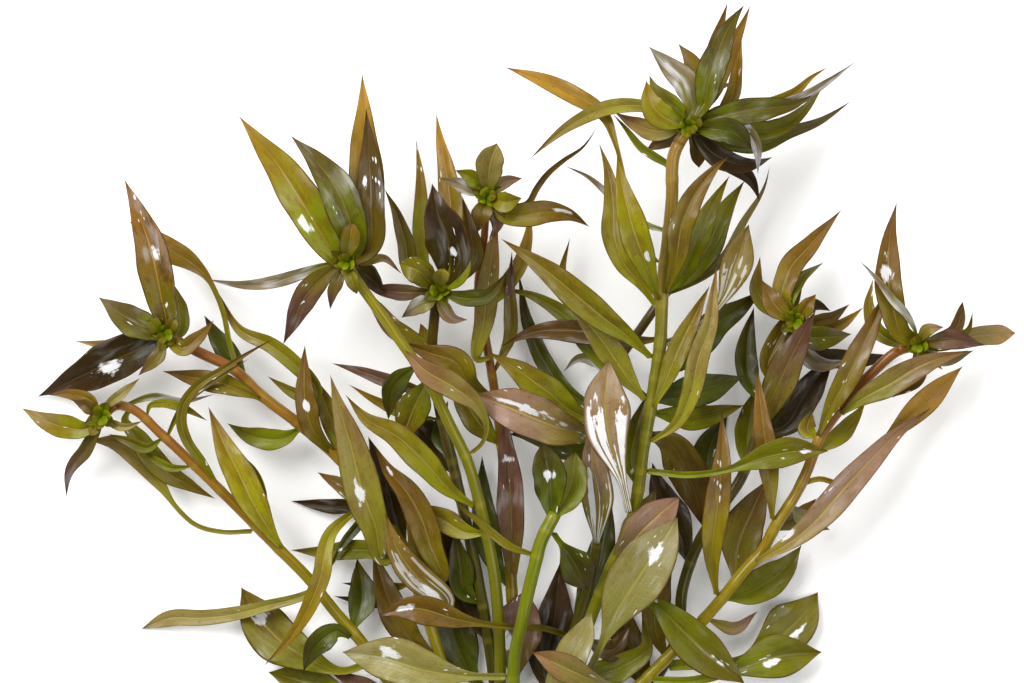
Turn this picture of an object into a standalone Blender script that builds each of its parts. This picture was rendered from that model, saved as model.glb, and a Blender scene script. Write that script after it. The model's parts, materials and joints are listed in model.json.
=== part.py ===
"""A bunch of ten ludwigia stems with their leaves, laid down on a flat surface.

The plan of every stem and leaf is a few spots of the photograph, in pixels from its top left corner, where one
pixel covers PIXEL millimetres of the surface. Heights above the surface, widths and radii are in millimetres.
Leaves that cross each other in plan are moved apart in height, and the meshes are made in metres.
"""

from dataclasses import dataclass
from enum import Enum

import bmesh
import bpy
import numpy as np

METRE = 0.001

# View of the photograph
PIXEL = 0.18
EYE_HEIGHT = 600.0
EYE_SPOT = np.array([512.0, 341.5])
MIDDLE = np.array([1.17, -14.77])

# Gaps and thicknesses
GAP = 0.3
BLADE_THICKNESS = 0.7
MARGIN_PAD = 0.45
LYING = 0.5 * BLADE_THICKNESS
FOLD_SWING = 0.8
CELL = 3.0
SAMPLE_STEP = 2.0
FREE_FROM_BASE = 2.5
TWIG_FREE_FROM_BASE = 6.0
TWIG_GAP = -0.2

# Settling of the leaves
ROUNDS = 260
STEP = 1.4
RESTORE = 0.004
LEAST_SWAY = 0.35
TINY = 1e-6
FAR = 99.0
CELL_SHIFT = 64
CELL_ROW = 1024

# Sections of a leaf's solid
FEWEST_STATIONS = 4
MOST_STATIONS = 8
TURN_PER_STATION = 67.0
STATION_LEAN = 0.85
TIP_DRAWN_OUT = 1.3
BEND_SHARES = np.linspace(0.0, 1.0, 24)

# Stems and growing points
STEM_SIDES = 6
STEM_TOLERANCE = 0.22
FINE_POINTS = 160
TIP_CUT = 3.6
WHOLE = 1000.0
BUD_RISE = 2.4
BUD_RADIUS = 1.25
BUD_TOP_RADIUS = 0.45
BUD_LEAN = 0.4
BUD_OFFSET = 0.45
BUD_CLIMB = 0.3
BUD_SPAN = (-0.4, 1.2)
ROOT_OFFSET = 0.4
HIGHEST_SEAT = 5
NEAR_ROOT = 9.0

OLIVE = (0.36, 0.34, 0.10)
GREEN = (0.33, 0.40, 0.04)
DARK_GREEN = (0.15, 0.24, 0.05)
BRIGHT = (0.50, 0.52, 0.06)
PALE = (0.58, 0.57, 0.36)
BRONZE = (0.50, 0.38, 0.17)
PINK = (0.58, 0.46, 0.35)
AMBER = (0.66, 0.48, 0.14)
BROWN = (0.33, 0.22, 0.08)
DARK = (0.14, 0.11, 0.07)
PURPLE = (0.34, 0.25, 0.20)
SILVER = (0.50, 0.49, 0.44)


@dataclass(frozen=True)
class Form:
    """Outline of a leaf: shares of its length and of its width."""

    stalk: float
    widest: float
    neck: float
    flare: float
    taper: float


class Kind(Enum):
    """What a leaf is one piece with: its shoot tip, its stem, or nothing."""

    SHOOT = 1
    SMALL = 2
    LEAF = 3


class Outline(Enum):
    """The outlines that the leaves have."""

    LANCE = Form(stalk=0.03, widest=0.45, neck=0.22, flare=1.2, taper=1.8)
    SPOON = Form(stalk=0.14, widest=0.64, neck=0.16, flare=1.8, taper=2.2)
    STALKED = Form(stalk=0.42, widest=0.74, neck=0.22, flare=1.8, taper=1.9)
    SESSILE = Form(stalk=0.0, widest=0.42, neck=0.55, flare=1.2, taper=1.7)
    SPATULA = Form(stalk=0.0, widest=0.80, neck=0.55, flare=1.5, taper=2.0)
    OVAL = Form(stalk=0.02, widest=0.50, neck=0.30, flare=1.2, taper=3.2)
    STRAP = Form(stalk=0.0, widest=0.35, neck=0.45, flare=1.4, taper=2.0)
    PADDLE = Form(stalk=0.30, widest=0.64, neck=0.14, flare=1.8, taper=2.8)


LANCE = Outline.LANCE
SPOON = Outline.SPOON
STALKED = Outline.STALKED
OVAL = Outline.OVAL
STRAP = Outline.STRAP
PADDLE = Outline.PADDLE
SESSILE = Outline.SESSILE
SPATULA = Outline.SPATULA


@dataclass(frozen=True)
class Leaf:
    """One leaf: plan from base to tip, full width, heights at its middle and tip, outline and colour."""

    plan: tuple
    width: float
    mid: float
    tip: float
    outline: Outline
    tone: tuple
    fold: float = 0.22


@dataclass(frozen=True)
class Stem:
    """One stem from its top down to its cut end, with the leaves that it carries."""

    name: str
    route: tuple
    top_radius: float
    foot_radius: float
    tone: tuple
    shoot: tuple = ()
    leaves: tuple = ()
    small_leaves: tuple = ()


UPPER_LEFT = Stem(
    name="upper_left",
    route=((165, 335, 14), (205, 355, 13), (230, 367, 12), (262, 396, 11), (300, 425, 10), (350, 470, 9),
           (400, 540, 8), (422, 600, 6.5), (437, 648, 5), (456, 715, 3.2), (484, 835, 0.91)),
    top_radius=0.95,
    foot_radius=1.05,
    tone=(0.55, 0.38, 0.12),
    shoot=(
        Leaf(((166, 322), (161, 296), (153, 258), (141, 220), (124, 178)), 6.3, 18, 9, SESSILE, AMBER),
        Leaf(((177, 332), (179, 310), (171, 280)), 3.4, 12, 8, SESSILE, OLIVE),
        Leaf(((147, 328), (123, 315), (98, 297)), 5.6, 16, 9, SESSILE, BRONZE),
        Leaf(((140, 342), (110, 345), (74, 341)), 2.2, 12, 6, LANCE, AMBER),
        Leaf(((140, 348), (108, 363), (75, 379), (37, 397)), 7.8, 9, LYING, SESSILE, DARK),
        Leaf(((158, 330), (148, 320)), 2.8, 17, 17, OVAL, GREEN),
        Leaf(((170, 328), (176, 318)), 2.4, 18, 18, OVAL, BRIGHT),
        Leaf(((182, 348), (199, 337), (214, 320)), 3.0, 17, 15, SESSILE, BRONZE),
        Leaf(((160, 352), (138, 376)), 2.6, 16, 13, LANCE, PURPLE),
    ),
    leaves=(
        Leaf(((262, 396), (220, 383), (185, 376), (162, 371)), 4.0, 13, 8, LANCE, BRONZE),
        Leaf(((230, 367), (229, 340), (224, 315), (216, 293), (207, 277), (190, 262), (165, 248), (129, 221)),
             4.4, 8, 4, STALKED, AMBER),
        Leaf(((318, 395), (297, 367), (270, 345), (240, 330), (218, 292)), 3.1, 12, 8, LANCE, AMBER),
        Leaf(((361, 508), (345, 519), (331, 533), (325, 550), (321, 575), (311, 602), (293, 634), (263,
             667)), 3.3, 14, 5, LANCE, BRONZE),
        Leaf(((385, 560), (375, 525), (362, 490), (352, 450), (340, 410), (330, 374)), 6.8, 17, 18, LANCE, PINK),
        Leaf(((445, 605), (415, 575), (395, 545), (385, 512)), 5.4, 16, 17, LANCE, BRONZE),
        Leaf(((440, 580), (430, 545), (420, 515), (405, 490), (388, 470), (373, 443)), 5.4, 14, 15, LANCE, PINK),
    ),
    small_leaves=(
        Leaf(((250, 380), (222, 345), (204, 315)), 4.0, 8, 5, LANCE, OLIVE),
        Leaf(((300, 430), (284, 438), (262, 438), (243, 433), (227, 423)), 4.0, 7, 3.5, LANCE, GREEN),
        Leaf(((337, 458), (313, 430), (305, 400), (304, 372), (305, 344)), 4.0, 14, 12, LANCE, BROWN),
        Leaf(((318, 410), (285, 388), (267, 376)), 2.5, 8, 7, LANCE, OLIVE),
        Leaf(((342, 462), (337, 440), (326, 405), (313, 375)), 3.6, 10, 8, LANCE, OLIVE),
        Leaf(((357, 497), (340, 485), (317, 472)), 2.9, 8, 6, LANCE, BRONZE),
        Leaf(((362, 508), (350, 507), (320, 505), (291, 501)), 2.8, 6, 2.5, LANCE, DARK),
        Leaf(((366, 518), (350, 535), (327, 573)), 1.8, 7, 4, STRAP, DARK_GREEN),
        Leaf(((395, 556), (365, 550), (325, 552), (290, 550)), 3.6, 5, 2, LANCE, GREEN),
        Leaf(((405, 585), (370, 586), (341, 583)), 2.0, 4, 2, LANCE, BROWN),
        Leaf(((410, 600), (370, 602), (333, 596)), 2.2, 3, 1, LANCE, BROWN),
        Leaf(((418, 590), (427, 566), (418, 540), (405, 515)), 4.7, 12, 12, LANCE, AMBER),
        Leaf(((433, 668), (412, 640), (388, 598), (372, 545)), 5.4, 6, 6, LANCE, BROWN),
        Leaf(((405, 550), (396, 520), (385, 480), (368, 436)), 5.6, 9, 10, LANCE, DARK),
    ),
)

LOWER_LEFT = Stem(
    name="lower_left",
    route=((101, 418, 12), (118, 405, 12), (130, 408, 11.6), (160, 433, 11), (192, 463, 10), (235, 505, 9.5),
           (275, 545, 9), (308, 578, 8.5), (339, 616, 8), (356, 635, 7.5), (400, 700, 6), (440, 765, 4.6),
           (477, 835, 3.7)),
    top_radius=0.8,
    foot_radius=1.05,
    tone=(0.55, 0.50, 0.10),
    shoot=(
        Leaf(((90, 427), (60, 426), (21, 408)), 4.3, 10, LYING, LANCE, AMBER),
        Leaf(((92, 402), (70, 394), (48, 395)), 2.4, 11, 6, LANCE, BRONZE),
        Leaf(((95, 411), (84, 405), (72, 400)), 2.3, 14, 12, LANCE, BROWN),
        Leaf(((108, 405), (120, 395), (140, 378)), 1.9, 14, 12, LANCE, PALE),
        Leaf(((95, 432), (85, 450), (70, 470), (66, 498)), 2.6, 8, LYING, SESSILE, PURPLE),
        Leaf(((108, 425), (125, 427), (143, 421)), 1.6, 13, 12, STRAP, PALE),
        Leaf(((104, 412), (106, 402)), 2.0, 14, 15, OVAL, GREEN),
        Leaf(((98, 424), (90, 436)), 2.0, 14, 14, OVAL, BRIGHT),
    ),
    leaves=(
        Leaf(((283, 545), (258, 512), (237, 470), (222, 440), (208, 406)), 5.7, 13, 10, LANCE, OLIVE),
        Leaf(((255, 527), (222, 532), (196, 525), (178, 509), (160, 484), (140, 459), (115, 443), (88, 440)),
             4.0, 5, 8, STALKED, PINK),
        Leaf(((315, 590), (297, 598), (265, 606), (235, 614), (200, 618), (170, 618), (141, 629)), 3.0, 4, LYING,
             SPATULA, PALE),
        Leaf(((370, 660), (345, 671), (305, 657), (275, 636), (255, 612), (241, 587)), 8.6, 4, 3, SPOON,
             GREEN),
        Leaf(((353, 634), (338, 631), (324, 638), (312, 652), (303, 672)), 4.4, 10, 5, LANCE, DARK_GREEN),
    ),
    small_leaves=(
        Leaf(((125, 418), (140, 440), (164, 470), (190, 486), (216, 499)), 4.2, 7, 5, LANCE, OLIVE),
        Leaf(((162, 440), (147, 448), (130, 442), (108, 434)), 2.2, 13, 12, LANCE, GREEN),
        Leaf(((192, 468), (172, 468), (155, 460), (140, 447)), 1.6, 11, 9, LANCE, GREEN),
        Leaf(((147, 418), (150, 406), (160, 403), (185, 409), (208, 421)), 1.8, 14, 13, LANCE, OLIVE),
        Leaf(((125, 405), (150, 397), (185, 401), (215, 394)), 1.4, 10, 9, STRAP, SILVER),
        Leaf(((168, 436), (176, 418), (190, 398), (215, 380), (250, 358)), 1.3, 14, 13, STRAP, OLIVE),
        Leaf(((222, 487), (203, 463), (187, 441), (181, 420), (184, 404), (198, 386), (222, 370), (250, 352),
              (275, 338)), 2.0, 15, 17, STRAP, OLIVE),
        Leaf(((263, 530), (263, 490), (255, 470), (240, 453)), 1.2, 12, 11, STRAP, GREEN),
        Leaf(((354, 630), (362, 598), (357, 558)), 5.2, 6, 5, LANCE, DARK_GREEN),
        Leaf(((392, 700), (350, 700), (310, 684), (268, 672)), 6.4, 3, LYING, SPOON, GREEN),
        Leaf(((410, 712), (380, 695), (345, 678), (325, 668)), 3.5, 6, 4, LANCE, PURPLE),
    ),
)

LEFT = Stem(
    name="left",
    route=((345, 262, 24), (360, 285, 23.5), (378, 310, 23), (398, 338, 22), (415, 362, 21), (430, 385, 20),
           (450, 425, 19), (467, 460, 17.5), (480, 505, 15.5), (487, 535, 13.7), (496, 588, 12), (498, 613, 11),
           (500, 700, 8), (491, 835, 3.7)),
    top_radius=0.9,
    foot_radius=1.05,
    tone=(0.60, 0.60, 0.08),
    shoot=(
        Leaf(((335, 253), (318, 228), (297, 194), (273, 158), (255, 136), (238, 115)), 7.1, 26, 15, SESSILE,
             AMBER),
        Leaf(((336, 252), (318, 230), (303, 205), (291, 173)), 5.0, 26, 20, SESSILE, OLIVE),
        Leaf(((353, 246), (348, 216), (335, 187), (315, 160), (290, 135)), 6.8, 30, 20, SESSILE, DARK_GREEN),
        Leaf(((364, 245), (366, 200), (365, 150), (364, 110), (362, 72)), 6.6, 24, 12, SESSILE, AMBER),
        Leaf(((368, 248), (371, 205), (369, 155), (366, 107)), 5.2, 29, 20, SESSILE, BROWN),
        Leaf(((348, 250), (353, 222)), 3.6, 30, 31, OVAL, OLIVE),
        Leaf(((335, 268), (315, 285), (300, 305), (293, 322), (283, 345)), 4.6, 20, 12, LANCE, PURPLE),
        Leaf(((340, 275), (333, 292), (330, 310)), 2.4, 25, 22, LANCE, PURPLE),
        Leaf(((350, 275), (357, 294)), 2.4, 27, 26, OVAL, BRIGHT),
        Leaf(((360, 270), (372, 280), (386, 293)), 4.0, 22, 20, LANCE, DARK),
        Leaf(((330, 264), (300, 274), (270, 283), (245, 285), (205, 279)), 2.4, 16, LYING, LANCE, SILVER),
        Leaf(((365, 262), (382, 258), (402, 274)), 1.6, 26, 24, LANCE, PINK),
    ),
    leaves=(
        Leaf(((478, 505), (450, 490), (425, 462), (395, 435), (365, 418), (345, 394)), 5.0, 23, 22, LANCE, PALE),
        Leaf(((468, 455), (480, 446), (487, 430), (478, 407), (455, 388), (425, 370), (405, 350)), 4.8, 24,
             23, SPOON, PALE),
    ),
    small_leaves=(
        Leaf(((415, 365), (395, 385), (388, 420)), 4.2, 16, 12, LANCE, DARK_GREEN),
        Leaf(((425, 380), (413, 410), (400, 445)), 6.2, 14, 12, LANCE, OLIVE),
        Leaf(((486, 533), (465, 532), (440, 518), (400, 507)), 4.4, 12, 11, LANCE, OLIVE),
    ),
)

INNER_LEFT = Stem(
    name="inner_left",
    route=((437, 290, 20), (434, 320, 17), (432, 345, 15), (438, 400, 12), (452, 460, 10), (468, 530, 8),
           (482, 600, 5.5), (496, 700, 2.6), (498, 835, 0.91)),
    top_radius=0.9,
    foot_radius=1.05,
    tone=(0.42, 0.42, 0.10),
    shoot=(
        Leaf(((448, 272), (448, 240), (437, 210), (432, 183)), 8.0, 27, 27, LANCE, DARK),
        Leaf(((455, 280), (473, 260), (470, 230), (462, 195)), 3.4, 21, 20, LANCE, BROWN),
        Leaf(((450, 283), (462, 262), (462, 238)), 4.0, 25, 26, LANCE, GREEN),
        Leaf(((424, 268), (421, 235), (421, 190), (416, 138)), 2.9, 11, LYING, SESSILE, AMBER),
        Leaf(((450, 262), (451, 215), (446, 170), (440, 138), (436, 112)), 4.3, 14, 10, LANCE, AMBER),
        Leaf(((430, 283), (420, 272), (399, 263)), 4.7, 27, 25, OVAL, BRIGHT),
        Leaf(((425, 292), (400, 292), (380, 290), (361, 283)), 3.0, 20, 16, LANCE, PURPLE),
        Leaf(((430, 300), (415, 308), (401, 318)), 3.2, 21, 15, LANCE, SILVER),
        Leaf(((448, 294), (465, 298), (485, 297), (507, 272)), 3.2, 23, 20, LANCE, DARK_GREEN),
        Leaf(((442, 305), (452, 318), (468, 320)), 2.6, 17, 15, LANCE, PINK),
        Leaf(((412, 272), (405, 240), (396, 212), (384, 188)), 3.3, 14, 11, SESSILE, OLIVE),
        Leaf(((440, 282), (444, 268)), 3.0, 29, 30, OVAL, BRIGHT),
    ),
    small_leaves=(
        Leaf(((440, 350), (425, 345), (395, 330), (375, 305), (358, 282)), 3.6, 14, 13, LANCE, BRONZE),
        Leaf(((436, 395), (400, 385), (366, 373), (331, 363)), 2.6, 12, 9, LANCE, PURPLE),
        Leaf(((441, 420), (400, 412), (378, 402), (348, 384)), 2.0, 10, 8, LANCE, AMBER),
        Leaf(((483, 605), (464, 590), (460, 565), (455, 530)), 5.0, 7, 8, LANCE, DARK_GREEN),
        Leaf(((431, 350), (427, 340), (420, 323)), 2.2, 14, 13, LANCE, AMBER),
        Leaf(((452, 460), (440, 440), (448, 400)), 3.0, 8, 7, LANCE, DARK_GREEN),
        Leaf(((456, 475), (438, 450), (418, 425), (398, 404)), 6.2, 7, 8, LANCE, DARK),
        Leaf(((488, 640), (464, 605), (448, 560), (436, 505)), 7.4, 3, 3, LANCE, DARK),
        Leaf(((496, 700), (472, 675), (455, 640), (446, 600)), 8.0, 1.6, 2, SPOON, DARK_GREEN),
    ),
)

MIDDLE_STEM = Stem(
    name="middle",
    route=((487, 195, 21), (484, 240, 18), (478, 290, 14), (486, 340, 11), (496, 400, 9), (503, 460, 8),
           (508, 530, 6.5), (512, 600, 4.5), (514, 700, 2.2), (512, 835, 0.91)),
    top_radius=0.6,
    foot_radius=1.05,
    tone=(0.50, 0.26, 0.10),
    shoot=(
        Leaf(((488, 180), (490, 165), (497, 143)), 5.0, 27, 29, OVAL, PALE),
        Leaf(((478, 183), (470, 177), (455, 170)), 3.0, 24, 23, LANCE, GREEN),
        Leaf(((495, 199), (505, 202), (522, 198)), 4.0, 25, 23, LANCE, BRIGHT),
        Leaf(((497, 190), (508, 181), (523, 178)), 2.4, 23, 21, LANCE, PINK),
        Leaf(((484, 205), (481, 218), (478, 232)), 3.8, 23, 19, LANCE, BROWN),
        Leaf(((494, 207), (497, 222), (494, 238)), 3.0, 20, 16, LANCE, PURPLE),
        Leaf(((503, 214), (522, 216), (545, 212), (568, 214), (590, 227)), 4.5, 21, 15, LANCE, BRONZE),
        Leaf(((478, 196), (463, 186), (440, 178)), 2.8, 21, 18, LANCE, SILVER),
        Leaf(((500, 203), (528, 203), (537, 188), (547, 175), (563, 161), (583, 147), (598, 126)), 1.2, 18,
             12, STRAP, BROWN),
    ),
    leaves=(
        Leaf(((480, 360), (484, 320), (490, 270), (497, 212)), 4.2, 15, 16, LANCE, BRONZE),
    ),
    small_leaves=(
        Leaf(((512, 596), (512, 540), (510, 490), (506, 440), (503, 402)), 5.0, 10, 9, LANCE, PURPLE),
        Leaf(((514, 700), (515, 660), (525, 590)), 9.0, 7, 7.5, SPOON, PURPLE),
        Leaf(((492, 375), (510, 335), (510, 290), (512, 250)), 2.6, 11, 12, LANCE, PURPLE),
        Leaf(((501, 445), (485, 430), (465, 402), (450, 372)), 5.0, 11, 13, LANCE, OLIVE),
        Leaf(((511, 590), (493, 560), (484, 510), (482, 455)), 4.8, 4.5, 4, LANCE, DARK_GREEN),
        Leaf(((484, 310), (505, 287), (521, 262), (528, 235), (530, 206)), 3.0, 10, 9, STRAP, AMBER),
        Leaf(((495, 400), (470, 385), (455, 362), (430, 353), (402, 342)), 5.0, 16, 18, LANCE, BRONZE),
    ),
)

TALL = Stem(
    name="tall",
    route=((690, 125, 24), (675, 152, 23), (672, 200, 22), (668, 240, 21.5), (663, 280, 21), (660, 345, 20),
           (655, 380, 19.5), (650, 410, 19), (643, 450, 18), (638, 490, 16.5), (632, 520, 15), (610, 570, 12.5),
           (590, 620, 10.5), (570, 683, 8), (540, 760, 5.5), (519, 835, 3.7)),
    top_radius=1.1,
    foot_radius=1.08,
    tone=(0.52, 0.50, 0.08),
    shoot=(
        Leaf(((703, 106), (709, 80), (718, 52), (730, 25), (745, 4)), 5.2, 29, 24, LANCE, DARK_GREEN),
        Leaf(((706, 95), (714, 50), (722, 22), (728, 1)), 3.2, 21, 15, LANCE, BRONZE),
        Leaf(((710, 98), (727, 60), (740, 30), (751, 4)), 3.2, 22, 16, LANCE, BRONZE),
        Leaf(((720, 116), (731, 98), (737, 70), (742, 34)), 2.7, 20, 14, LANCE, AMBER),
        Leaf(((692, 105), (685, 82), (665, 62), (648, 46)), 4.8, 28, 24, LANCE, SILVER),
        Leaf(((699, 104), (697, 80), (690, 60), (678, 43)), 4.8, 25, 19, LANCE, BRONZE),
        Leaf(((684, 114), (668, 102), (656, 90), (649, 75)), 3.4, 23, 18, LANCE, GREEN),
        Leaf(((678, 123), (662, 116), (651, 102), (646, 80)), 5.0, 27, 25, LANCE, AMBER),
        Leaf(((680, 130), (668, 138), (645, 151)), 3.4, 22, 17, LANCE, BRONZE),
        Leaf(((713, 118), (740, 112), (770, 108), (795, 104), (813, 95)), 4.8, 26, 18, LANCE, DARK_GREEN),
        Leaf(((715, 116), (765, 110), (800, 99), (827, 82), (858, 60)), 2.4, 22, 14, LANCE, SILVER),
        Leaf(((713, 112), (760, 107), (795, 92), (812, 77), (830, 66)), 2.6, 20, 12, LANCE, AMBER),
        Leaf(((713, 128), (750, 132), (785, 125), (806, 108), (824, 85)), 3.6, 20, 11, LANCE, OLIVE),
        Leaf(((712, 140), (760, 146), (790, 132), (820, 121), (853, 100)), 2.6, 15, LYING, LANCE, OLIVE),
        Leaf(((700, 140), (725, 160), (750, 165), (773, 157)), 4.0, 22, 16, LANCE, DARK),
        Leaf(((705, 128), (735, 134), (752, 149)), 4.6, 27, 24, OVAL, DARK_GREEN),
        Leaf(((708, 122), (740, 125), (756, 145), (758, 175)), 3.2, 24, 18, LANCE, SILVER),
        Leaf(((712, 150), (738, 168), (752, 182), (760, 202)), 3.8, 15, 9, LANCE, DARK),
        Leaf(((697, 142), (699, 168)), 3.2, 22, 19, OVAL, BROWN),
        Leaf(((697, 112), (710, 92), (738, 82)), 1.8, 28, 27, LANCE, PALE),
        Leaf(((672, 117), (640, 106), (612, 107), (590, 114), (567, 127), (547, 143), (529, 160)), 2.8, 19,
             6, LANCE, OLIVE),
        Leaf(((680, 130), (655, 131), (635, 124), (614, 112)), 3.6, 21, 16, LANCE, SILVER),
        Leaf(((697, 128), (700, 117)), 2.6, 28, 29, OVAL, BRIGHT),
    ),
    leaves=(
        Leaf(((655, 357), (630, 338), (600, 315), (570, 290), (535, 262), (500, 238)), 5.4, 27, 24, LANCE, OLIVE),
        Leaf(((643, 400), (622, 370), (605, 345), (585, 320), (565, 300)), 5.0, 21, 20, LANCE, BRONZE),
        Leaf(((661, 304), (641, 284), (623, 262), (614, 236), (613, 205), (609, 175), (599, 143)), 4.2, 19,
             14, LANCE, BRONZE),
        Leaf(((661, 298), (645, 262), (632, 225), (622, 185), (617, 155)), 5.4, 26, 22, LANCE, BRIGHT),
        Leaf(((665, 261), (648, 250), (634, 232), (629, 205), (624, 178), (616, 145), (603, 114), (575, 95),
             (540, 79), (504, 67)), 3.4, 18, 6, STALKED, AMBER),
        Leaf(((668, 293), (676, 260), (682, 225), (695, 195), (715, 168), (730, 155)), 4.6, 27, 26, LANCE, PALE),
        Leaf(((653, 408), (666, 380), (680, 345), (695, 315), (710, 285)), 4.0, 22, 22, LANCE, PALE),
        Leaf(((650, 440), (675, 425), (690, 395), (698, 360), (710, 325), (714, 290), (717, 262)), 4.0, 24, 24,
             LANCE, PINK),
        Leaf(((632, 512), (622, 480), (610, 440), (605, 400), (609, 359)), 8.6, 23, 22, SPOON, PINK),
        Leaf(((645, 472), (690, 475), (730, 469), (765, 457), (800, 451), (829, 451)), 5.4, 20, 20, STALKED,
             GREEN),
        Leaf(((566, 697), (588, 672), (602, 643), (618, 610), (642, 572), (678, 517)), 10.0, 18, 19, PADDLE,
             PALE),
        Leaf(((603, 595), (630, 596), (655, 605), (680, 628), (708, 655), (745, 684)), 7.6, 15, 12, SPOON,
             BRIGHT),
        Leaf(((552, 735), (556, 700), (570, 660), (584, 632), (591, 611)), 6.2, 12.5, 13.5, OVAL, PALE),
    ),
    small_leaves=(
        Leaf(((655, 340), (620, 341), (600, 335), (560, 330), (530, 333), (500, 347)), 4.4, 16, 12, LANCE, BROWN),
        Leaf(((650, 400), (615, 372), (590, 345), (560, 312), (530, 295), (497, 288)), 3.6, 12, 11, LANCE, GREEN),
        Leaf(((668, 232), (640, 222), (612, 198), (590, 178), (563, 165)), 1.6, 14, 9, STRAP, SILVER),
        Leaf(((673, 180), (668, 166), (655, 157), (641, 147), (627, 130), (612, 113)), 1.6, 18, 14, STRAP,
             GREEN),
        Leaf(((660, 345), (690, 333), (715, 310), (737, 262), (749, 224)), 5.8, 18, 17, STALKED, PINK),
        Leaf(((655, 380), (690, 352), (715, 325), (740, 308), (765, 288)), 5.8, 12, 8, LANCE, DARK_GREEN),
        Leaf(((653, 400), (700, 390), (745, 376)), 6.2, 15, 11, LANCE, DARK_GREEN),
        Leaf(((652, 412), (700, 417), (745, 405)), 4.6, 12, 8, LANCE, GREEN),
        Leaf(((645, 435), (665, 440), (690, 480), (705, 530)), 7.2, 8, 4, LANCE, BROWN),
        Leaf(((637, 490), (631, 462), (636, 430), (646, 395)), 4.2, 14, 13, LANCE, GREEN),
        Leaf(((615, 560), (635, 530), (657, 488)), 5.4, 14, 13, LANCE, OLIVE),
        Leaf(((612, 568), (645, 528), (680, 497)), 6.5, 17, 16, OVAL, PINK),
        Leaf(((560, 712), (590, 680), (620, 667), (645, 650), (642, 617)), 5.2, 8, 9.5, LANCE, GREEN),
        Leaf(((588, 640), (612, 650), (630, 625)), 4.0, 8, 7, LANCE, BROWN),
    ),
)

BACK = Stem(
    name="back",
    route=((672, 285, 14), (656, 307, 14), (640, 330, 13.5), (620, 358, 13), (612, 372, 12.5), (606, 420, 11),
           (603, 480, 9.5), (598, 540, 7.5), (587, 593, 5.5), (572, 640, 4), (558, 700, 2.6), (535, 780, 1.5),
           (526, 835, 0.91)),
    top_radius=0.8,
    foot_radius=1.05,
    tone=(0.46, 0.32, 0.10),
    leaves=(
        Leaf(((590, 437), (560, 428), (515, 410), (475, 394)), 8.0, 22, 20, OVAL, PINK),
        Leaf(((585, 417), (545, 390), (515, 368), (488, 352)), 5.8, 17, 17, LANCE, OLIVE),
        Leaf(((600, 545), (598, 500), (592, 460), (590, 425)), 6.1, 14, 15, LANCE, PINK),
        Leaf(((565, 634), (548, 629), (510, 627), (460, 620), (410, 608), (379, 615)), 5.4, 13.8, 14, STALKED,
             BRONZE),
    ),
    small_leaves=(
        Leaf(((675, 285), (697, 240), (715, 200), (730, 175)), 4.2, 19, 16, LANCE, GREEN),
        Leaf(((678, 285), (705, 250), (722, 215), (745, 180)), 5.2, 14, 11, LANCE, GREEN),
        Leaf(((680, 288), (720, 262), (745, 220), (765, 185), (770, 165)), 1.8, 10, 6, STRAP, PALE),
        Leaf(((612, 375), (580, 320), (562, 280), (570, 237)), 2.6, 8, 5, LANCE, OLIVE),
        Leaf(((606, 415), (558, 382), (530, 330), (518, 270)), 3.2, 7, 5, LANCE, DARK_GREEN),
        Leaf(((603, 470), (575, 450), (545, 437), (508, 434)), 5.4, 9, 9, LANCE, DARK_GREEN),
        Leaf(((557, 704), (548, 666), (555, 615), (560, 562)), 7.8, 1.2, 2, LANCE, DARK),
        Leaf(((574, 636), (591, 590), (604, 545), (612, 500)), 6.0, 3, 3, LANCE, DARK_GREEN),
        Leaf(((611, 378), (596, 362), (580, 358), (563, 372)), 2.0, 9, 6, STRAP, SILVER),
    ),
)

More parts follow.
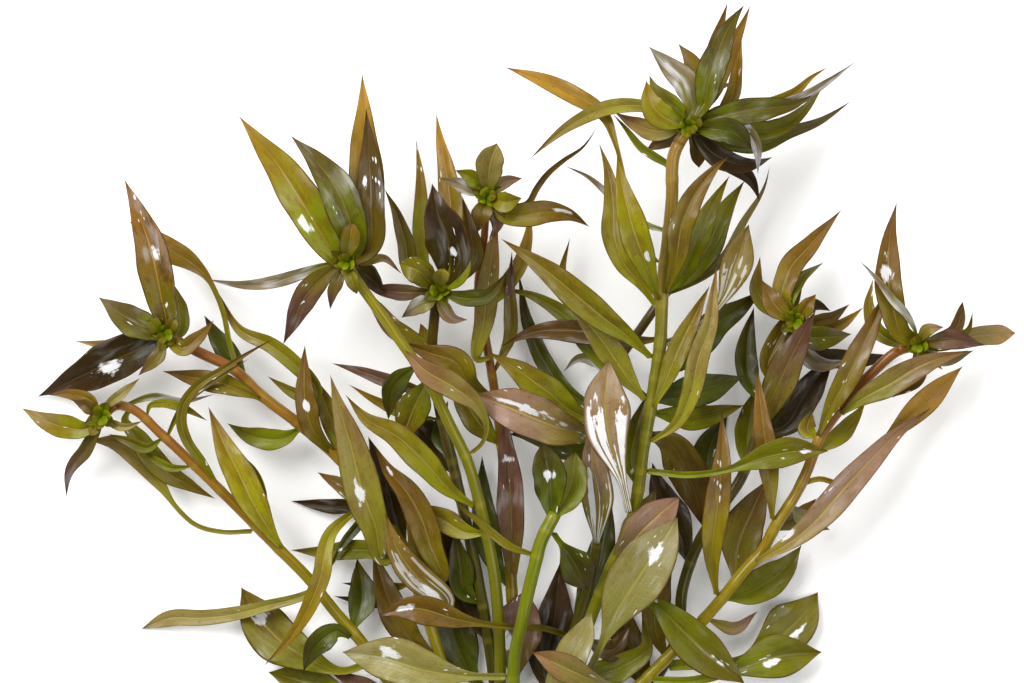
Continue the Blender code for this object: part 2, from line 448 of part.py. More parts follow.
INNER_RIGHT = Stem(
    name="inner_right",
    route=((795, 322, 14), (787, 350, 13), (775, 390, 11), (757, 435, 10), (740, 480, 9), (715, 515, 8),
           (700, 540, 7), (683, 587, 6), (677, 638, 4.6), (655, 680, 3.2), (610, 742, 2), (540, 835, 0.91)),
    top_radius=0.9,
    foot_radius=1.05,
    tone=(0.40, 0.40, 0.10),
    shoot=(
        Leaf(((782, 302), (788, 273), (812, 243), (842, 209)), 4.3, 14, 5, SESSILE, BRONZE),
        Leaf(((790, 306), (798, 282), (824, 262)), 2.4, 15, 9, LANCE, GREEN),
        Leaf(((794, 305), (797, 280), (801, 256)), 2.2, 11, 6, LANCE, BRONZE),
        Leaf(((780, 315), (758, 292), (760, 256)), 3.2, 12, 7, LANCE, AMBER),
        Leaf(((805, 335), (830, 337), (852, 334)), 4.5, 14, 9, LANCE, GREEN),
        Leaf(((802, 315), (815, 305), (831, 311)), 2.4, 16, 14, LANCE, DARK),
        Leaf(((808, 322), (830, 318), (850, 304)), 2.4, 12, 8, LANCE, BROWN),
        Leaf(((810, 330), (840, 325), (864, 307)), 2.4, 10, 5, LANCE, AMBER),
        Leaf(((805, 350), (850, 360), (903, 355)), 3.6, 7, 2, LANCE, DARK),
        Leaf(((800, 348), (820, 364), (852, 360)), 3.2, 10, 7, LANCE, SILVER),
        Leaf(((800, 320), (808, 305), (816, 294)), 3.0, 18, 17, LANCE, BRONZE),
        Leaf(((785, 325), (775, 305), (762, 280)), 4.0, 17, 14, LANCE, BRONZE),
    ),
    leaves=(
        Leaf(((758, 432), (768, 408), (785, 370), (800, 340), (816, 310)), 6.1, 17, 19, LANCE, PURPLE),
    ),
    small_leaves=(
        Leaf(((775, 390), (768, 366), (776, 345), (790, 320), (798, 288)), 4.3, 11, 10, LANCE, BRONZE),
        Leaf(((765, 410), (748, 375), (747, 345), (754, 306)), 4.2, 9, 8, LANCE, DARK_GREEN),
        Leaf(((757, 435), (785, 425), (805, 395), (836, 352)), 6.0, 7, 5, LANCE, DARK),
        Leaf(((745, 470), (748, 430), (755, 388)), 5.0, 6, 4, LANCE, GREEN),
        Leaf(((725, 500), (708, 478), (709, 450), (728, 414)), 6.0, 5, 3, LANCE, DARK_GREEN),
        Leaf(((748, 455), (774, 430), (788, 398), (796, 362)), 4.6, 5, 3, LANCE, DARK_GREEN),
        Leaf(((668, 660), (655, 628), (660, 588), (674, 545)), 5.0, 4, 5, LANCE, BRONZE),
        Leaf(((650, 690), (638, 668), (627, 640), (624, 600)), 6.6, 1.6, 2, LANCE, BROWN),
        Leaf(((692, 565), (678, 530), (663, 500), (652, 462)), 6.4, 2.5, 3, LANCE, DARK),
    ),
)

RIGHT = Stem(
    name="right",
    route=((918, 345, 17), (900, 350, 17), (870, 375, 16.5), (850, 395, 16), (835, 415, 15.6), (820, 437, 15),
           (807, 471, 14.5), (797, 492, 14), (776, 525, 13), (760, 554, 12), (745, 570, 11.5), (725, 595, 10.5),
           (698, 626, 9), (660, 665, 7.5), (620, 705, 6), (570, 775, 4.6), (533, 835, 3.7)),
    top_radius=0.9,
    foot_radius=1.05,
    tone=(0.56, 0.46, 0.12),
    shoot=(
        Leaf(((903, 335), (893, 308), (888, 270), (890, 235), (897, 201)), 5.0, 22, 13, SESSILE, BRONZE),
        Leaf(((915, 330), (908, 317), (893, 300), (878, 280), (859, 260)), 1.6, 24, 22, LANCE, SILVER),
        Leaf(((925, 343), (950, 340), (985, 345)), 3.8, 21, 17, LANCE, PURPLE),
        Leaf(((930, 346), (970, 337), (1016, 333)), 3.7, 12, LYING, SPATULA, AMBER),
        Leaf(((930, 341), (955, 330), (963, 301)), 2.4, 18, 16, OVAL, BROWN),
        Leaf(((930, 340), (968, 330), (973, 311)), 1.6, 16, 13, LANCE, OLIVE),
        Leaf(((920, 355), (945, 360), (975, 350)), 2.2, 18, 14, LANCE, SILVER),
        Leaf(((921, 358), (914, 378), (892, 398)), 3.8, 12, 7, SESSILE, BROWN),
        Leaf(((920, 338), (928, 330), (944, 327)), 2.4, 23, 22, LANCE, PINK),
        Leaf(((924, 354), (934, 361), (943, 370)), 1.9, 14, 10, LANCE, AMBER),
        Leaf(((897, 343), (877, 330), (869, 306), (873, 278)), 2.8, 15, 9, LANCE, AMBER),
    ),
    leaves=(
        Leaf(((776, 522), (770, 485), (765, 440), (760, 400), (757, 368)), 4.0, 17, 14, LANCE, BRONZE),
        Leaf(((720, 597), (712, 560), (717, 510), (722, 460), (722, 409)), 4.7, 16, 15, LANCE, PINK),
        Leaf(((757, 562), (800, 535), (850, 482), (898, 433), (932, 407)), 5.2, 15, 8, LANCE, PINK),
        Leaf(((818, 437), (827, 415), (848, 376), (868, 335), (881, 305), (888, 284)), 4.5, 20, 18, LANCE,
             BRONZE),
        Leaf(((838, 410), (862, 399), (890, 384), (920, 366), (970, 350)), 4.8, 21, 22, LANCE, PALE),
        Leaf(((665, 660), (700, 664), (740, 661), (773, 642), (800, 618), (818, 592)), 9.0, 5, LYING,
             STALKED, GREEN),
        Leaf(((650, 676), (690, 681), (735, 670), (775, 657), (822, 652)), 7.9, 8, 3, STALKED, OLIVE),
    ),
    small_leaves=(
        Leaf(((805, 484), (820, 479), (838, 483), (862, 463), (903, 423), (963, 366)), 4.6, 10, 3, STALKED,
             AMBER),
        Leaf(((815, 455), (845, 430), (866, 402)), 3.4, 12, 8, LANCE, BRIGHT),
        Leaf(((724, 600), (752, 591), (780, 572), (802, 545)), 6.2, 5, 2.5, LANCE, GREEN),
        Leaf(((705, 620), (735, 628), (758, 611)), 2.4, 6, 3, LANCE, PINK),
        Leaf(((735, 583), (738, 548), (750, 515), (768, 478)), 7.4, 7, 5, LANCE, BRONZE),
        Leaf(((820, 440), (808, 430), (812, 411)), 3.4, 13, 11, LANCE, OLIVE),
        Leaf(((778, 534), (793, 521), (817, 498)), 3.2, 8, 4, LANCE, BRONZE),
        Leaf(((640, 690), (610, 686), (570, 670), (532, 652)), 5.2, 18, 19, SPOON, PALE),
        Leaf(((790, 505), (805, 520), (830, 530)), 3.6, 8, 3, LANCE, PALE),
    ),
)

SHORT = Stem(
    name="short",
    route=((555, 513, 20), (540, 544, 19.5), (535, 564, 19), (528, 593, 18), (521, 625, 16.8), (515, 654, 14.5),
           (513, 683, 12.5), (509, 760, 7), (505, 835, 3.7)),
    top_radius=1.15,
    foot_radius=1.08,
    tone=(0.50, 0.56, 0.06),
    leaves=(
        Leaf(((511, 677), (470, 676), (425, 670), (385, 658), (342, 652)), 8.4, 16, 11, SPOON, PALE),
        Leaf(((557, 536), (570, 556), (588, 590)), 6.6, 18, 13, SPOON, DARK_GREEN),
    ),
    small_leaves=(
        Leaf(((555, 513), (550, 482), (542, 443)), 6.0, 22, 22, OVAL, DARK_GREEN),
        Leaf(((556, 513), (570, 488), (575, 452)), 6.0, 18, 17, OVAL, GREEN),
        Leaf(((535, 555), (511, 547), (491, 532), (477, 520), (463, 509), (451, 496)), 1.6, 17.6, 14.5,
             STRAP, BRIGHT),
    ),
)

STEMS = (UPPER_LEFT, LOWER_LEFT, LEFT, INNER_LEFT, MIDDLE_STEM, TALL, BACK, INNER_RIGHT, RIGHT, SHORT)


def smooth_route(points, shares):
    """Points at the given shares of a smooth curve through the given points."""
    points = np.asarray(points, dtype=float)
    steps = np.linalg.norm(np.diff(points[:, :2], axis=0), axis=1)
    along = np.concatenate(([0.0], np.cumsum(steps)))
    slopes = np.gradient(points, along, axis=0)
    at = np.clip(np.asarray(shares) * along[-1], 0.0, along[-1])
    piece = np.clip(np.searchsorted(along, at, side="right") - 1, 0, len(steps) - 1)
    length = steps[piece][:, None]
    t = ((at - along[piece]) / steps[piece])[:, None]
    start = (2 * t**3 - 3 * t**2 + 1) * points[piece] + (t**3 - 2 * t**2 + t) * length * slopes[piece]
    end = (3 * t**2 - 2 * t**3) * points[piece + 1] + (t**3 - t**2) * length * slopes[piece + 1]
    return start + end


def breadth(form, shares):
    """Width of a leaf at the given shares of its length, as a share of its full width."""
    rise = np.clip((shares - form.stalk) / (form.widest - form.stalk), 0.0, 1.0)
    swell = form.neck + (1.0 - form.neck) * np.sin(0.5 * np.pi * rise) ** form.flare
    fall = np.clip((shares - form.widest) / (1.0 - form.widest), 0.0, 1.0)
    return swell * (1.0 - fall**form.taper) ** TIP_DRAWN_OUT


def bezier_weights(shares):
    """Weights of the four heights of a leaf (base, two controls, tip) at the given shares of its length."""
    t = np.asarray(shares)
    return np.stack(((1 - t) ** 3, 3 * t * (1 - t) ** 2, 3 * t**2 * (1 - t), t**3), axis=-1)


def place(spots):
    """World positions in metres of spots given as photo column, photo row and height in millimetres."""
    spots = np.asarray(spots, dtype=float)
    nearer = (EYE_HEIGHT - spots[..., 2:]) / EYE_HEIGHT
    flat = (spots[..., :2] - EYE_SPOT) * (PIXEL, -PIXEL) * nearer - MIDDLE
    return np.concatenate((flat, spots[..., 2:]), axis=-1) * METRE


class Rod:
    """A stretch of stem or a growing point, which stays where it is while the leaves settle."""

    def __init__(self, line, owner, twig):
        self.line = line
        self.owner = owner
        self.twig = twig


class Blade:
    """A leaf set on its stem, with the four heights that settling changes."""

    def __init__(self, leaf, line, owner, twig, kind):
        self.leaf = leaf
        self.owner = owner
        self.twig = twig
        self.kind = kind
        plan = np.array(leaf.plan, dtype=float)
        root, level = self.seat(plan, line)
        if np.linalg.norm(plan[0] - root) < NEAR_ROOT:
            plan = plan[1:]
        self.plan = np.vstack((root, plan))
        bend = 2.0 * leaf.mid - 0.5 * (level + leaf.tip)
        self.heights = np.array([level, (level + 2 * bend) / 3, (2 * bend + leaf.tip) / 3, leaf.tip])
        self.length = np.linalg.norm(np.diff(self.plan, axis=0), axis=1).sum() * PIXEL
        self.lean = FOLD_SWING * np.sin(plan[-1].sum())

    def seat(self, plan, line):
        """Where the leaf starts: inside what it is one piece with, else a gap away from the stem's surface."""
        if self.kind is Kind.SHOOT:
            lead = plan[0] - line[0, :2]
            lead /= np.linalg.norm(lead)
            climb = np.clip(BUD_CLIMB * (self.leaf.mid - line[0, 2]), *BUD_SPAN)
            return line[0, :2] + lead * BUD_OFFSET / PIXEL, line[0, 2] + climb
        away = np.linalg.norm(line[:, :2] - plan[0], axis=1)
        nearest = int(np.clip(np.argmin(away), HIGHEST_SEAT, len(line) - 2))
        spot = line[nearest]
        if self.kind is Kind.SMALL:
            lead = plan[1] - spot[:2]
            return spot[:2] + lead / np.linalg.norm(lead) * ROOT_OFFSET / PIXEL, spot[2]
        run = line[nearest + 1, :2] - line[nearest - 1, :2]
        run /= np.linalg.norm(run)
        side = np.array([-run[1], run[0]])
        lead = plan[1] - spot[:2]
        lead /= np.linalg.norm(lead)
        sideways = float(lead @ side)
        upright = np.sqrt(max(0.0, 1.0 - sideways**2)) * (1.0 if self.leaf.mid >= spot[2] else -1.0)
        reach = spot[3] + GAP + 0.5 * BLADE_THICKNESS
        return spot[:2] + side * sideways * reach / PIXEL, spot[2] + upright * reach

    def grid(self, shares, across, pad=0.0):
        """Photo spots, and heights over the midline, of shares of the length by shares of the width."""
        spine = smooth_route(self.plan, shares)
        run = np.gradient(spine, axis=0)
        run /= np.linalg.norm(run, axis=1)[:, None]
        side = np.stack((-run[:, 1], run[:, 0]), axis=1)
        half = 0.5 * self.leaf.width * breadth(self.leaf.outline.value, shares)
        offset = (half + pad)[:, None] / PIXEL * across
        flat = spine[:, None, :] + side[:, None, :] * offset[..., None]
        lift = self.leaf.fold * half[:, None] * (np.abs(across) + self.lean * across)
        return flat, lift

    def samples(self):
        """Rows of plan spot, height over the midline, four weights, half thickness and distance from base."""
        shares = np.linspace(0.0, 1.0, int(self.length / PIXEL / SAMPLE_STEP) + 3)
        across = np.linspace(-1.0, 1.0, int(self.leaf.width / PIXEL / SAMPLE_STEP) + 3)
        flat, lift = self.grid(shares, across, pad=MARGIN_PAD)
        spread = np.ones((1, len(across), 1))
        weights = bezier_weights(shares)[:, None, :] * spread
        thick = np.full(lift.shape, 0.5 * BLADE_THICKNESS)
        from_base = (shares * self.length)[:, None] * np.ones(lift.shape)
        rows = np.concatenate((flat, lift[..., None], weights, thick[..., None], from_base[..., None]), axis=2)
        return rows.reshape(-1, rows.shape[2])


def rod_samples(rod):
    """Rows like a leaf's for a rod, whose height is fixed."""
    reach = rod.line[:, 3:] / PIXEL
    compass = np.array([(0, 0), (1, 0), (-1, 0), (0, 1), (0, -1)], dtype=float)
    flat = rod.line[:, None, :2] + compass * reach[..., None]
    rows = np.zeros((len(rod.line), len(compass), 9))
    rows[..., :2] = flat
    rows[..., 2] = rod.line[:, None, 2]
    rows[..., 7] = rod.line[:, None, 3]
    rows[..., 8] = FAR
    return rows.reshape(-1, 9)


class Heap:
    """The whole bunch as samples of its strands, one for each cell of the plan that a strand covers."""

    def __init__(self, blades, rods):
        self.blades = blades
        self.heights = np.array([blade.heights for blade in blades] + [np.zeros(4)] * len(rods))
        tables = [blade.samples() for blade in blades] + [rod_samples(rod) for rod in rods]
        strand = np.repeat(np.arange(len(tables)), [len(table) for table in tables])
        table = np.concatenate(tables)
        cells = np.floor(table[:, :2] / CELL).astype(int) + CELL_SHIFT
        cell = cells[:, 0] * CELL_ROW + cells[:, 1]
        _, first, home = np.unique(strand * CELL_ROW**2 + cell, return_index=True, return_inverse=True)
        counts = np.bincount(home)
        merged = np.stack([np.bincount(home, weights=column) / counts for column in table.T], axis=1)
        self.strand = strand[first]
        self.cell = cell[first]
        self.loft, self.weights, self.half, self.from_base = merged[:, 2], merged[:, 3:7], merged[:, 7], merged[:, 8]
        self.sway = self.weights[:, 1:].sum(axis=1)
        self.find_contacts(blades, rods)

    def find_contacts(self, blades, rods):
        """Pairs of samples that must keep apart, how far, and which of the two is above."""
        order = np.argsort(self.cell, kind="stable")
        cell = self.cell[order]
        deepest = int(np.bincount(np.unique(cell, return_inverse=True)[1]).max())
        firsts = [order[:-step][cell[:-step] == cell[step:]] for step in range(1, deepest)]
        seconds = [order[step:][cell[:-step] == cell[step:]] for step in range(1, deepest)]
        first, second = np.concatenate(firsts), np.concatenate(seconds)
        one, two = self.strand[first], self.strand[second]
        strands = blades + rods
        twig = np.array([strand.twig for strand in strands])
        owner = np.array([strand.owner for strand in strands])
        rod = np.arange(len(strands)) >= len(blades)
        same_twig = twig[one] == twig[two]
        nearer = np.minimum(self.from_base[first], self.from_base[second])
        own_rod = (owner[one] == owner[two]) & (rod[one] | rod[two])
        skip = (one == two) | (rod[one] & rod[two])
        skip |= same_twig & (nearer < TWIG_FREE_FROM_BASE)
        skip |= own_rod & (nearer < FREE_FROM_BASE)
        self.first, self.second = first[~skip], second[~skip]
        gap = np.where(same_twig[~skip], TWIG_GAP, GAP)
        self.need = self.half[self.first] + self.half[self.second] + gap
        level = self.levels()
        pair = self.strand[self.first] * len(strands) + self.strand[self.second]
        _, group = np.unique(pair, return_inverse=True)
        over = np.bincount(group, weights=level[self.first] - level[self.second])
        self.sign = np.where(over >= 0, 1.0, -1.0)[group]

    def levels(self):
        """Height of the middle of each sample."""
        return self.loft + (self.weights * self.heights[self.strand]).sum(axis=1)

    def shortfall(self):
        """How much each pair of samples lacks of its distance."""
        level = self.levels()
        return self.need - self.sign * (level[self.first] - level[self.second])

    def settle(self):
        """Move leaves that cross in plan apart in height, and keep them over the surface."""
        moving = self.weights[:, 1:]
        wished = self.heights.copy()
        for _ in range(ROUNDS):
            between = self.shortfall()
            active = between > 0
            a, b, push = self.first[active], self.second[active], self.sign[active] * between[active]
            share = self.sway[a] / np.maximum(self.sway[a] + self.sway[b], TINY)
            index = np.concatenate((a, b))
            amount = np.concatenate((push * share, -push * (1 - share)))
            pull = moving[index] * (amount / np.maximum(self.sway[index], LEAST_SWAY))[:, None]
            change = np.zeros((len(self.heights), 3))
            total = np.zeros((len(self.heights), 3))
            np.add.at(change, self.strand[index], pull)
            np.add.at(total, self.strand[index], moving[index])
            self.heights[:, 1:] += STEP * change / np.maximum(total, TINY)
            self.heights = np.maximum(self.heights + RESTORE * (wished - self.heights), LYING)
        for blade, settled in zip(self.blades, self.heights):
            blade.heights = settled


def stem_spots(stem):
    """Photo spots, heights and radii along a stem, close together from its top to its foot."""
    route = np.array(stem.route, dtype=float)
    shares = np.linspace(0.0, 1.0, 240)
    spots = smooth_route(route, shares)
    radii = stem.top_radius + (stem.foot_radius - stem.top_radius) * np.clip(shares * 1.6, 0.0, 1.0)
    return np.column_stack((spots, radii))


def closed_mesh(name, points, faces):
    """A triangulated mesh with its faces pointing out."""
    mesh = bpy.data.meshes.new(name)
    mesh.from_pydata([tuple(point) for point in points], [], faces)
    shape = bmesh.new()
    shape.from_mesh(mesh)
    bmesh.ops.triangulate(shape, faces=shape.faces[:], quad_method="SHORT_EDGE")
    bmesh.ops.recalc_face_normals(shape, faces=shape.faces[:])
    shape.to_mesh(mesh)
    shape.free()
    return mesh


def stations(blade):
    """Shares of a leaf's length where its solid has a section: more of them where it bends more."""
    spine = np.column_stack((smooth_route(blade.plan, BEND_SHARES) * PIXEL,
                             bezier_weights(BEND_SHARES) @ blade.heights))
    run = np.diff(spine, axis=0)
    run /= np.linalg.norm(run, axis=1)[:, None]
    turn = np.degrees(np.arccos(np.clip((run[1:] * run[:-1]).sum(axis=1), -1.0, 1.0)))
    fewest = FEWEST_STATIONS if blade.kind is Kind.LEAF else FEWEST_STATIONS - 1
    count = int(np.clip(fewest + turn.sum() / TURN_PER_STATION, fewest, MOST_STATIONS))
    return np.linspace(0.0, 1.0, count + 1)[:-1] ** STATION_LEAN


def blade_mesh(name, blade):
    """A leaf as a body with a three-cornered section, flat above and keeled below, that ends in a point."""
    shares = stations(blade)
    flat, lift = blade.grid(shares, np.array([-1.0, 0.0, 1.0]))
    level = bezier_weights(shares) @ blade.heights
    rings = []
    for row in range(len(shares)):
        left, middle, right = flat[row]
        rings.append((*left, level[row] + lift[row, 0]))
        rings.append((*right, level[row] + lift[row, 2]))
        rings.append((*middle, level[row] - 0.5 * BLADE_THICKNESS))
    rings.append((*blade.plan[-1], blade.heights[3] - 0.5 * BLADE_THICKNESS))
    last = 3 * (len(shares) - 1)
    faces = [(0, 1, 2)]
    for start in range(0, last, 3):
        for side in range(3):
            after = (side + 1) % 3
            faces.append((start + side, start + after, start + 3 + after, start + 3 + side))
    for side in range(3):
        faces.append((last + side, last + (side + 1) % 3, last + 3))
    return closed_mesh(name, place(rings), faces)


def tube_mesh(name, centres, run, radii):
    """A round rod of STEM_SIDES sides through world points, with sections square to the directions."""
    run = run / np.linalg.norm(run, axis=1)[:, None]
    side = np.cross(run, (0.0, 0.0, 1.0))
    side /= np.linalg.norm(side, axis=1)[:, None]
    crown = np.cross(side, run)
    turns = np.arange(STEM_SIDES) * 2 * np.pi / STEM_SIDES
    ring = np.cos(turns)[None, :, None] * side[:, None, :] + np.sin(turns)[None, :, None] * crown[:, None, :]
    points = (centres[:, None, :] + ring * radii[:, None, None]).reshape(-1, 3)
    faces = [tuple(range(STEM_SIDES))]
    for start in range(0, STEM_SIDES * (len(centres) - 1), STEM_SIDES):
        for corner in range(STEM_SIDES):
            after = (corner + 1) % STEM_SIDES
            faces.append((start + corner, start + after, start + STEM_SIDES + after, start + STEM_SIDES + corner))
    faces.append(tuple(range(len(points) - STEM_SIDES, len(points))))
    return closed_mesh(name, points, faces)


def distances(line):
    """Distance of each point of a stem line from its top, in millimetres."""
    steps = np.linalg.norm(np.diff(place(line[:, :3]), axis=0), axis=1) / METRE
    return np.concatenate(([0.0], np.cumsum(steps)))


def fewest_points(points, tolerance):
    """Indices of the points that a polyline needs to stay within a tolerance of all of them."""
    kept = {0, len(points) - 1}
    spans = [(0, len(points) - 1)]
    while spans:
        start, end = spans.pop()
        if end - start < 2:
            continue
        chord = points[end] - points[start]
        chord /= np.linalg.norm(chord)
        inner = points[start + 1:end] - points[start]
        off = np.linalg.norm(inner - (inner @ chord)[:, None] * chord, axis=1)
        if off.max() > tolerance:
            middle = start + 1 + int(off.argmax())
            kept.add(middle)
            spans += [(start, middle), (middle, end)]
    return sorted(kept)


def part_of_line(line, start, end):
    """Centres, directions and radii, in metres, of a stem line between two distances from its top."""
    centres, radii = place(line[:, :3]), line[:, 3] * METRE
    along = distances(line)
    fine = np.linspace(start, min(end, along[-1]), FINE_POINTS)
    points = np.stack([np.interp(fine, along, centres[:, axis]) for axis in range(3)], axis=1)
    run = np.gradient(points, axis=0)
    kept = fewest_points(points, STEM_TOLERANCE * METRE)
    return points[kept], run[kept], np.interp(fine, along, radii)[kept]


def painted(name, colour):
    """A matt leaf material."""
    material = bpy.data.materials.new(name)
    material.use_nodes = True
    shader = material.node_tree.nodes["Principled BSDF"]
    shader.inputs["Base Color"].default_value = (*[channel**2.2 for channel in colour], 1.0)
    shader.inputs["Roughness"].default_value = 0.4
    shader.inputs["Metallic"].default_value = 0.0
    return material


def add_object(name, mesh, colour, fused_meshes=()):
    """A named piece, with other bodies joined to it by a Boolean union."""
    piece = bpy.data.objects.new(name, mesh)
    mesh.materials.append(painted(name, colour))
    bpy.context.scene.collection.objects.link(piece)
    if not fused_meshes:
        return piece
    group = bpy.data.collections.new(f"{name}_joined")
    bpy.context.scene.collection.children.link(group)
    for number, other in enumerate(fused_meshes, start=1):
        body = bpy.data.objects.new(f"{name}_joined_{number}", other)
        body.hide_render = True
        body.display_type = "WIRE"
        group.objects.link(body)
    union = piece.modifiers.new("union", "BOOLEAN")
    union.operation = "UNION"
    union.operand_type = "COLLECTION"
    union.collection = group
    union.solver = "EXACT"
    return piece


def bud_mesh(name, line):
    """The growing point: the top of the stem, turned up and tapered."""
    stub, run, radii = part_of_line(line, 0.0, TIP_CUT)
    lean = (stub[0] - stub[-1]) / np.linalg.norm(stub[0] - stub[-1])
    top = lean * BUD_LEAN * METRE + np.array([0.0, 0.0, BUD_RISE * METRE])
    centres = np.array((stub[-1], stub[0], stub[0] + top))
    directions = np.array((-run[-1] / np.linalg.norm(run[-1]), lean + top / METRE, top / METRE))
    sizes = np.array((radii[-1], BUD_RADIUS * METRE, BUD_TOP_RADIUS * METRE))
    return tube_mesh(name, centres, directions, sizes)


def gather():
    """Every leaf on its stem, and the stretches of stem, before they settle."""
    blades, rods = [], []
    for owner, stem in enumerate(STEMS):
        line = stem_spots(stem)
        shoot_twig, stem_twig = 2 * owner, 2 * owner + 1
        bud = int(np.searchsorted(distances(line), TIP_CUT)) if stem.shoot else 0
        rods.append(Rod(line[bud:], owner, stem_twig))
        if stem.shoot:
            rods.append(Rod(line[:bud], owner, shoot_twig))
        blades += [Blade(leaf, line, owner, shoot_twig, Kind.SHOOT) for leaf in stem.shoot]
        blades += [Blade(leaf, line, owner, stem_twig, Kind.SMALL) for leaf in stem.small_leaves]
        blades += [Blade(leaf, line, owner, 2 * len(STEMS) + len(blades) + number, Kind.LEAF)
                   for number, leaf in enumerate(stem.leaves)]
    return blades, rods


def build_bunch():
    """Every stem, shoot tip and large leaf as its own object."""
    blades, rods = gather()
    Heap(blades, rods).settle()
    for owner, stem in enumerate(STEMS):
        line = stem_spots(stem)
        shoot, small, grown = [[blade for blade in blades if blade.owner == owner and blade.kind is kind]
                               for kind in Kind]
        rod = part_of_line(line, TIP_CUT + GAP if shoot else 0.0, WHOLE)
        add_object(f"{stem.name}_stem", tube_mesh(stem.name, *rod), stem.tone,
                   [blade_mesh("leaf", blade) for blade in small])
        if shoot:
            add_object(f"{stem.name}_shoot_tip", bud_mesh(stem.name, line), stem.shoot[0].tone,
                       [blade_mesh("leaf", blade) for blade in shoot])
        for number, blade in enumerate(grown, start=1):
            name = f"{stem.name}_leaf_{number}"
            add_object(name, blade_mesh(name, blade), blade.leaf.tone)


for leftover in list(bpy.data.objects):
    bpy.data.objects.remove(leftover, do_unlink=True)
build_bunch()
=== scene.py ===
"""A bunch of ten ludwigia stems lying on a pale table, dressed for a view from straight above.

The plan of every stem and leaf is a few spots of the photograph, in pixels from its top left corner, where
one pixel covers PIXEL millimetres of the table. Heights over the table, widths and radii are in millimetres,
and the meshes are in metres. A leaf is a thin shell whose section folds up along its midrib, carried along
its plan.
"""

from __future__ import annotations

import json
import logging
from dataclasses import dataclass
from enum import Enum
from typing import Any, Mapping, Sequence, Union

import bpy
import numpy as np
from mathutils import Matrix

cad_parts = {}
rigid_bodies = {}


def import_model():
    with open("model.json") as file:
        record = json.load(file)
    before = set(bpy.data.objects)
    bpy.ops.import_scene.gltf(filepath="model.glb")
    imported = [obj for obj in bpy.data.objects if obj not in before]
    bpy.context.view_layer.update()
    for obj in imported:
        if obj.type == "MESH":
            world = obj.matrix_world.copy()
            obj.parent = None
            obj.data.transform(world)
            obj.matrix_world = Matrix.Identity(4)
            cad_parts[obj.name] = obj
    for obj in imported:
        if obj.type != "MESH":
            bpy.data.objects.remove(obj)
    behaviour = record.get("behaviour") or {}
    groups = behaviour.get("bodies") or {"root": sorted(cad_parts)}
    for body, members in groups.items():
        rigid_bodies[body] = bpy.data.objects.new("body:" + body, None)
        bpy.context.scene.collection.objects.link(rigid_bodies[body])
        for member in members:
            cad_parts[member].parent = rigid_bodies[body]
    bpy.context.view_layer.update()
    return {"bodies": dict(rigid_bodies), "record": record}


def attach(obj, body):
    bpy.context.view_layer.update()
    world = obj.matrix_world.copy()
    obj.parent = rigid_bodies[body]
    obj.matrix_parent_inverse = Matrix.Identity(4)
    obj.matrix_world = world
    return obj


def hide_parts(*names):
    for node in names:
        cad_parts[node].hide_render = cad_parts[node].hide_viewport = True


log = logging.getLogger("ludwigia")

Array = np.ndarray
Colour = tuple[float, float, float]
Span = tuple[float, float]
Grain = tuple[float, float, float]
Finishes = Mapping[str, bpy.types.Material]

# A millimetre in metres, a least divisor, about a full turn, and places too far off to meet or to lie in a
# painted patch of light
METRE = 0.001
TINY = 1e-6
FULL_TURN = 6.3
FAR = 99.0
UNLIT = 9.0

# View of the photograph, from straight above
PIXEL = 0.18
PHOTO_WIDTH = 1024
EYE_HEIGHT = 600.0
EYE_SPOT = np.array([512.0, 341.5])
MIDDLE = np.array([1.17, -14.77])

# Gaps and thicknesses that the leaves settle by, in millimetres, and cells and steps of their plan in pixels
GAP = 0.3
BLADE_THICKNESS = 0.7
LYING = 0.5 * BLADE_THICKNESS
MARGIN_PAD = 0.45
FREE_FROM_BASE = 2.5
TWIG_FREE_FROM_BASE = 6.0
TWIG_GAP = -0.2
SAMPLE_STEP = 2.0
CELL = 3.0
CELL_SHIFT = 64
CELL_ROW = 1024
SAMPLE_NUMBERS = 9

# Settling of the leaves
ROUNDS = 260
STEP = 1.4
RESTORE = 0.004
LEAST_SWAY = 0.35

# Stems, growing points, where leaves sit on them, and how the leaves taper and fold
LINE_POINTS = 240
GIRTH_GAIN = 1.6
TIP_CUT = 3.6
BUD_OFFSET = 0.45
BUD_CLIMB = 0.3
BUD_SPAN = (-0.4, 1.2)
ROOT_OFFSET = 0.4
HIGHEST_SEAT = 5
NEAR_ROOT = 9.0
TIP_DRAWN_OUT = 1.3
FOLD = 0.22
FOLD_SWING = 0.8

# Fineness of the shown surfaces, and the least height over the table that they may have
LEAF_ROWS = 44
LEAF_COLUMNS = 15
STEM_SIDES = 20
LOWEST = 0.02

# Under the lights a white surface is brighter than white in the photograph, and gloss adds some grey. Plant
# colours allow for both by these shares of red, green and blue.
LIT = (0.64, 0.57, 0.38)
FULLY = (1.0, 1.0, 1.0)


class Kind(Enum):
    """What a leaf is one piece with: its shoot tip, its stem, or nothing."""

    SHOOT = 1
    SMALL = 2
    LEAF = 3


@dataclass(frozen=True)
class Form:
    """Outline of a leaf: shares of its length and of its width, and the powers of its rise and fall."""

    stalk: float
    widest: float
    neck: float
    flare: float
    taper: float


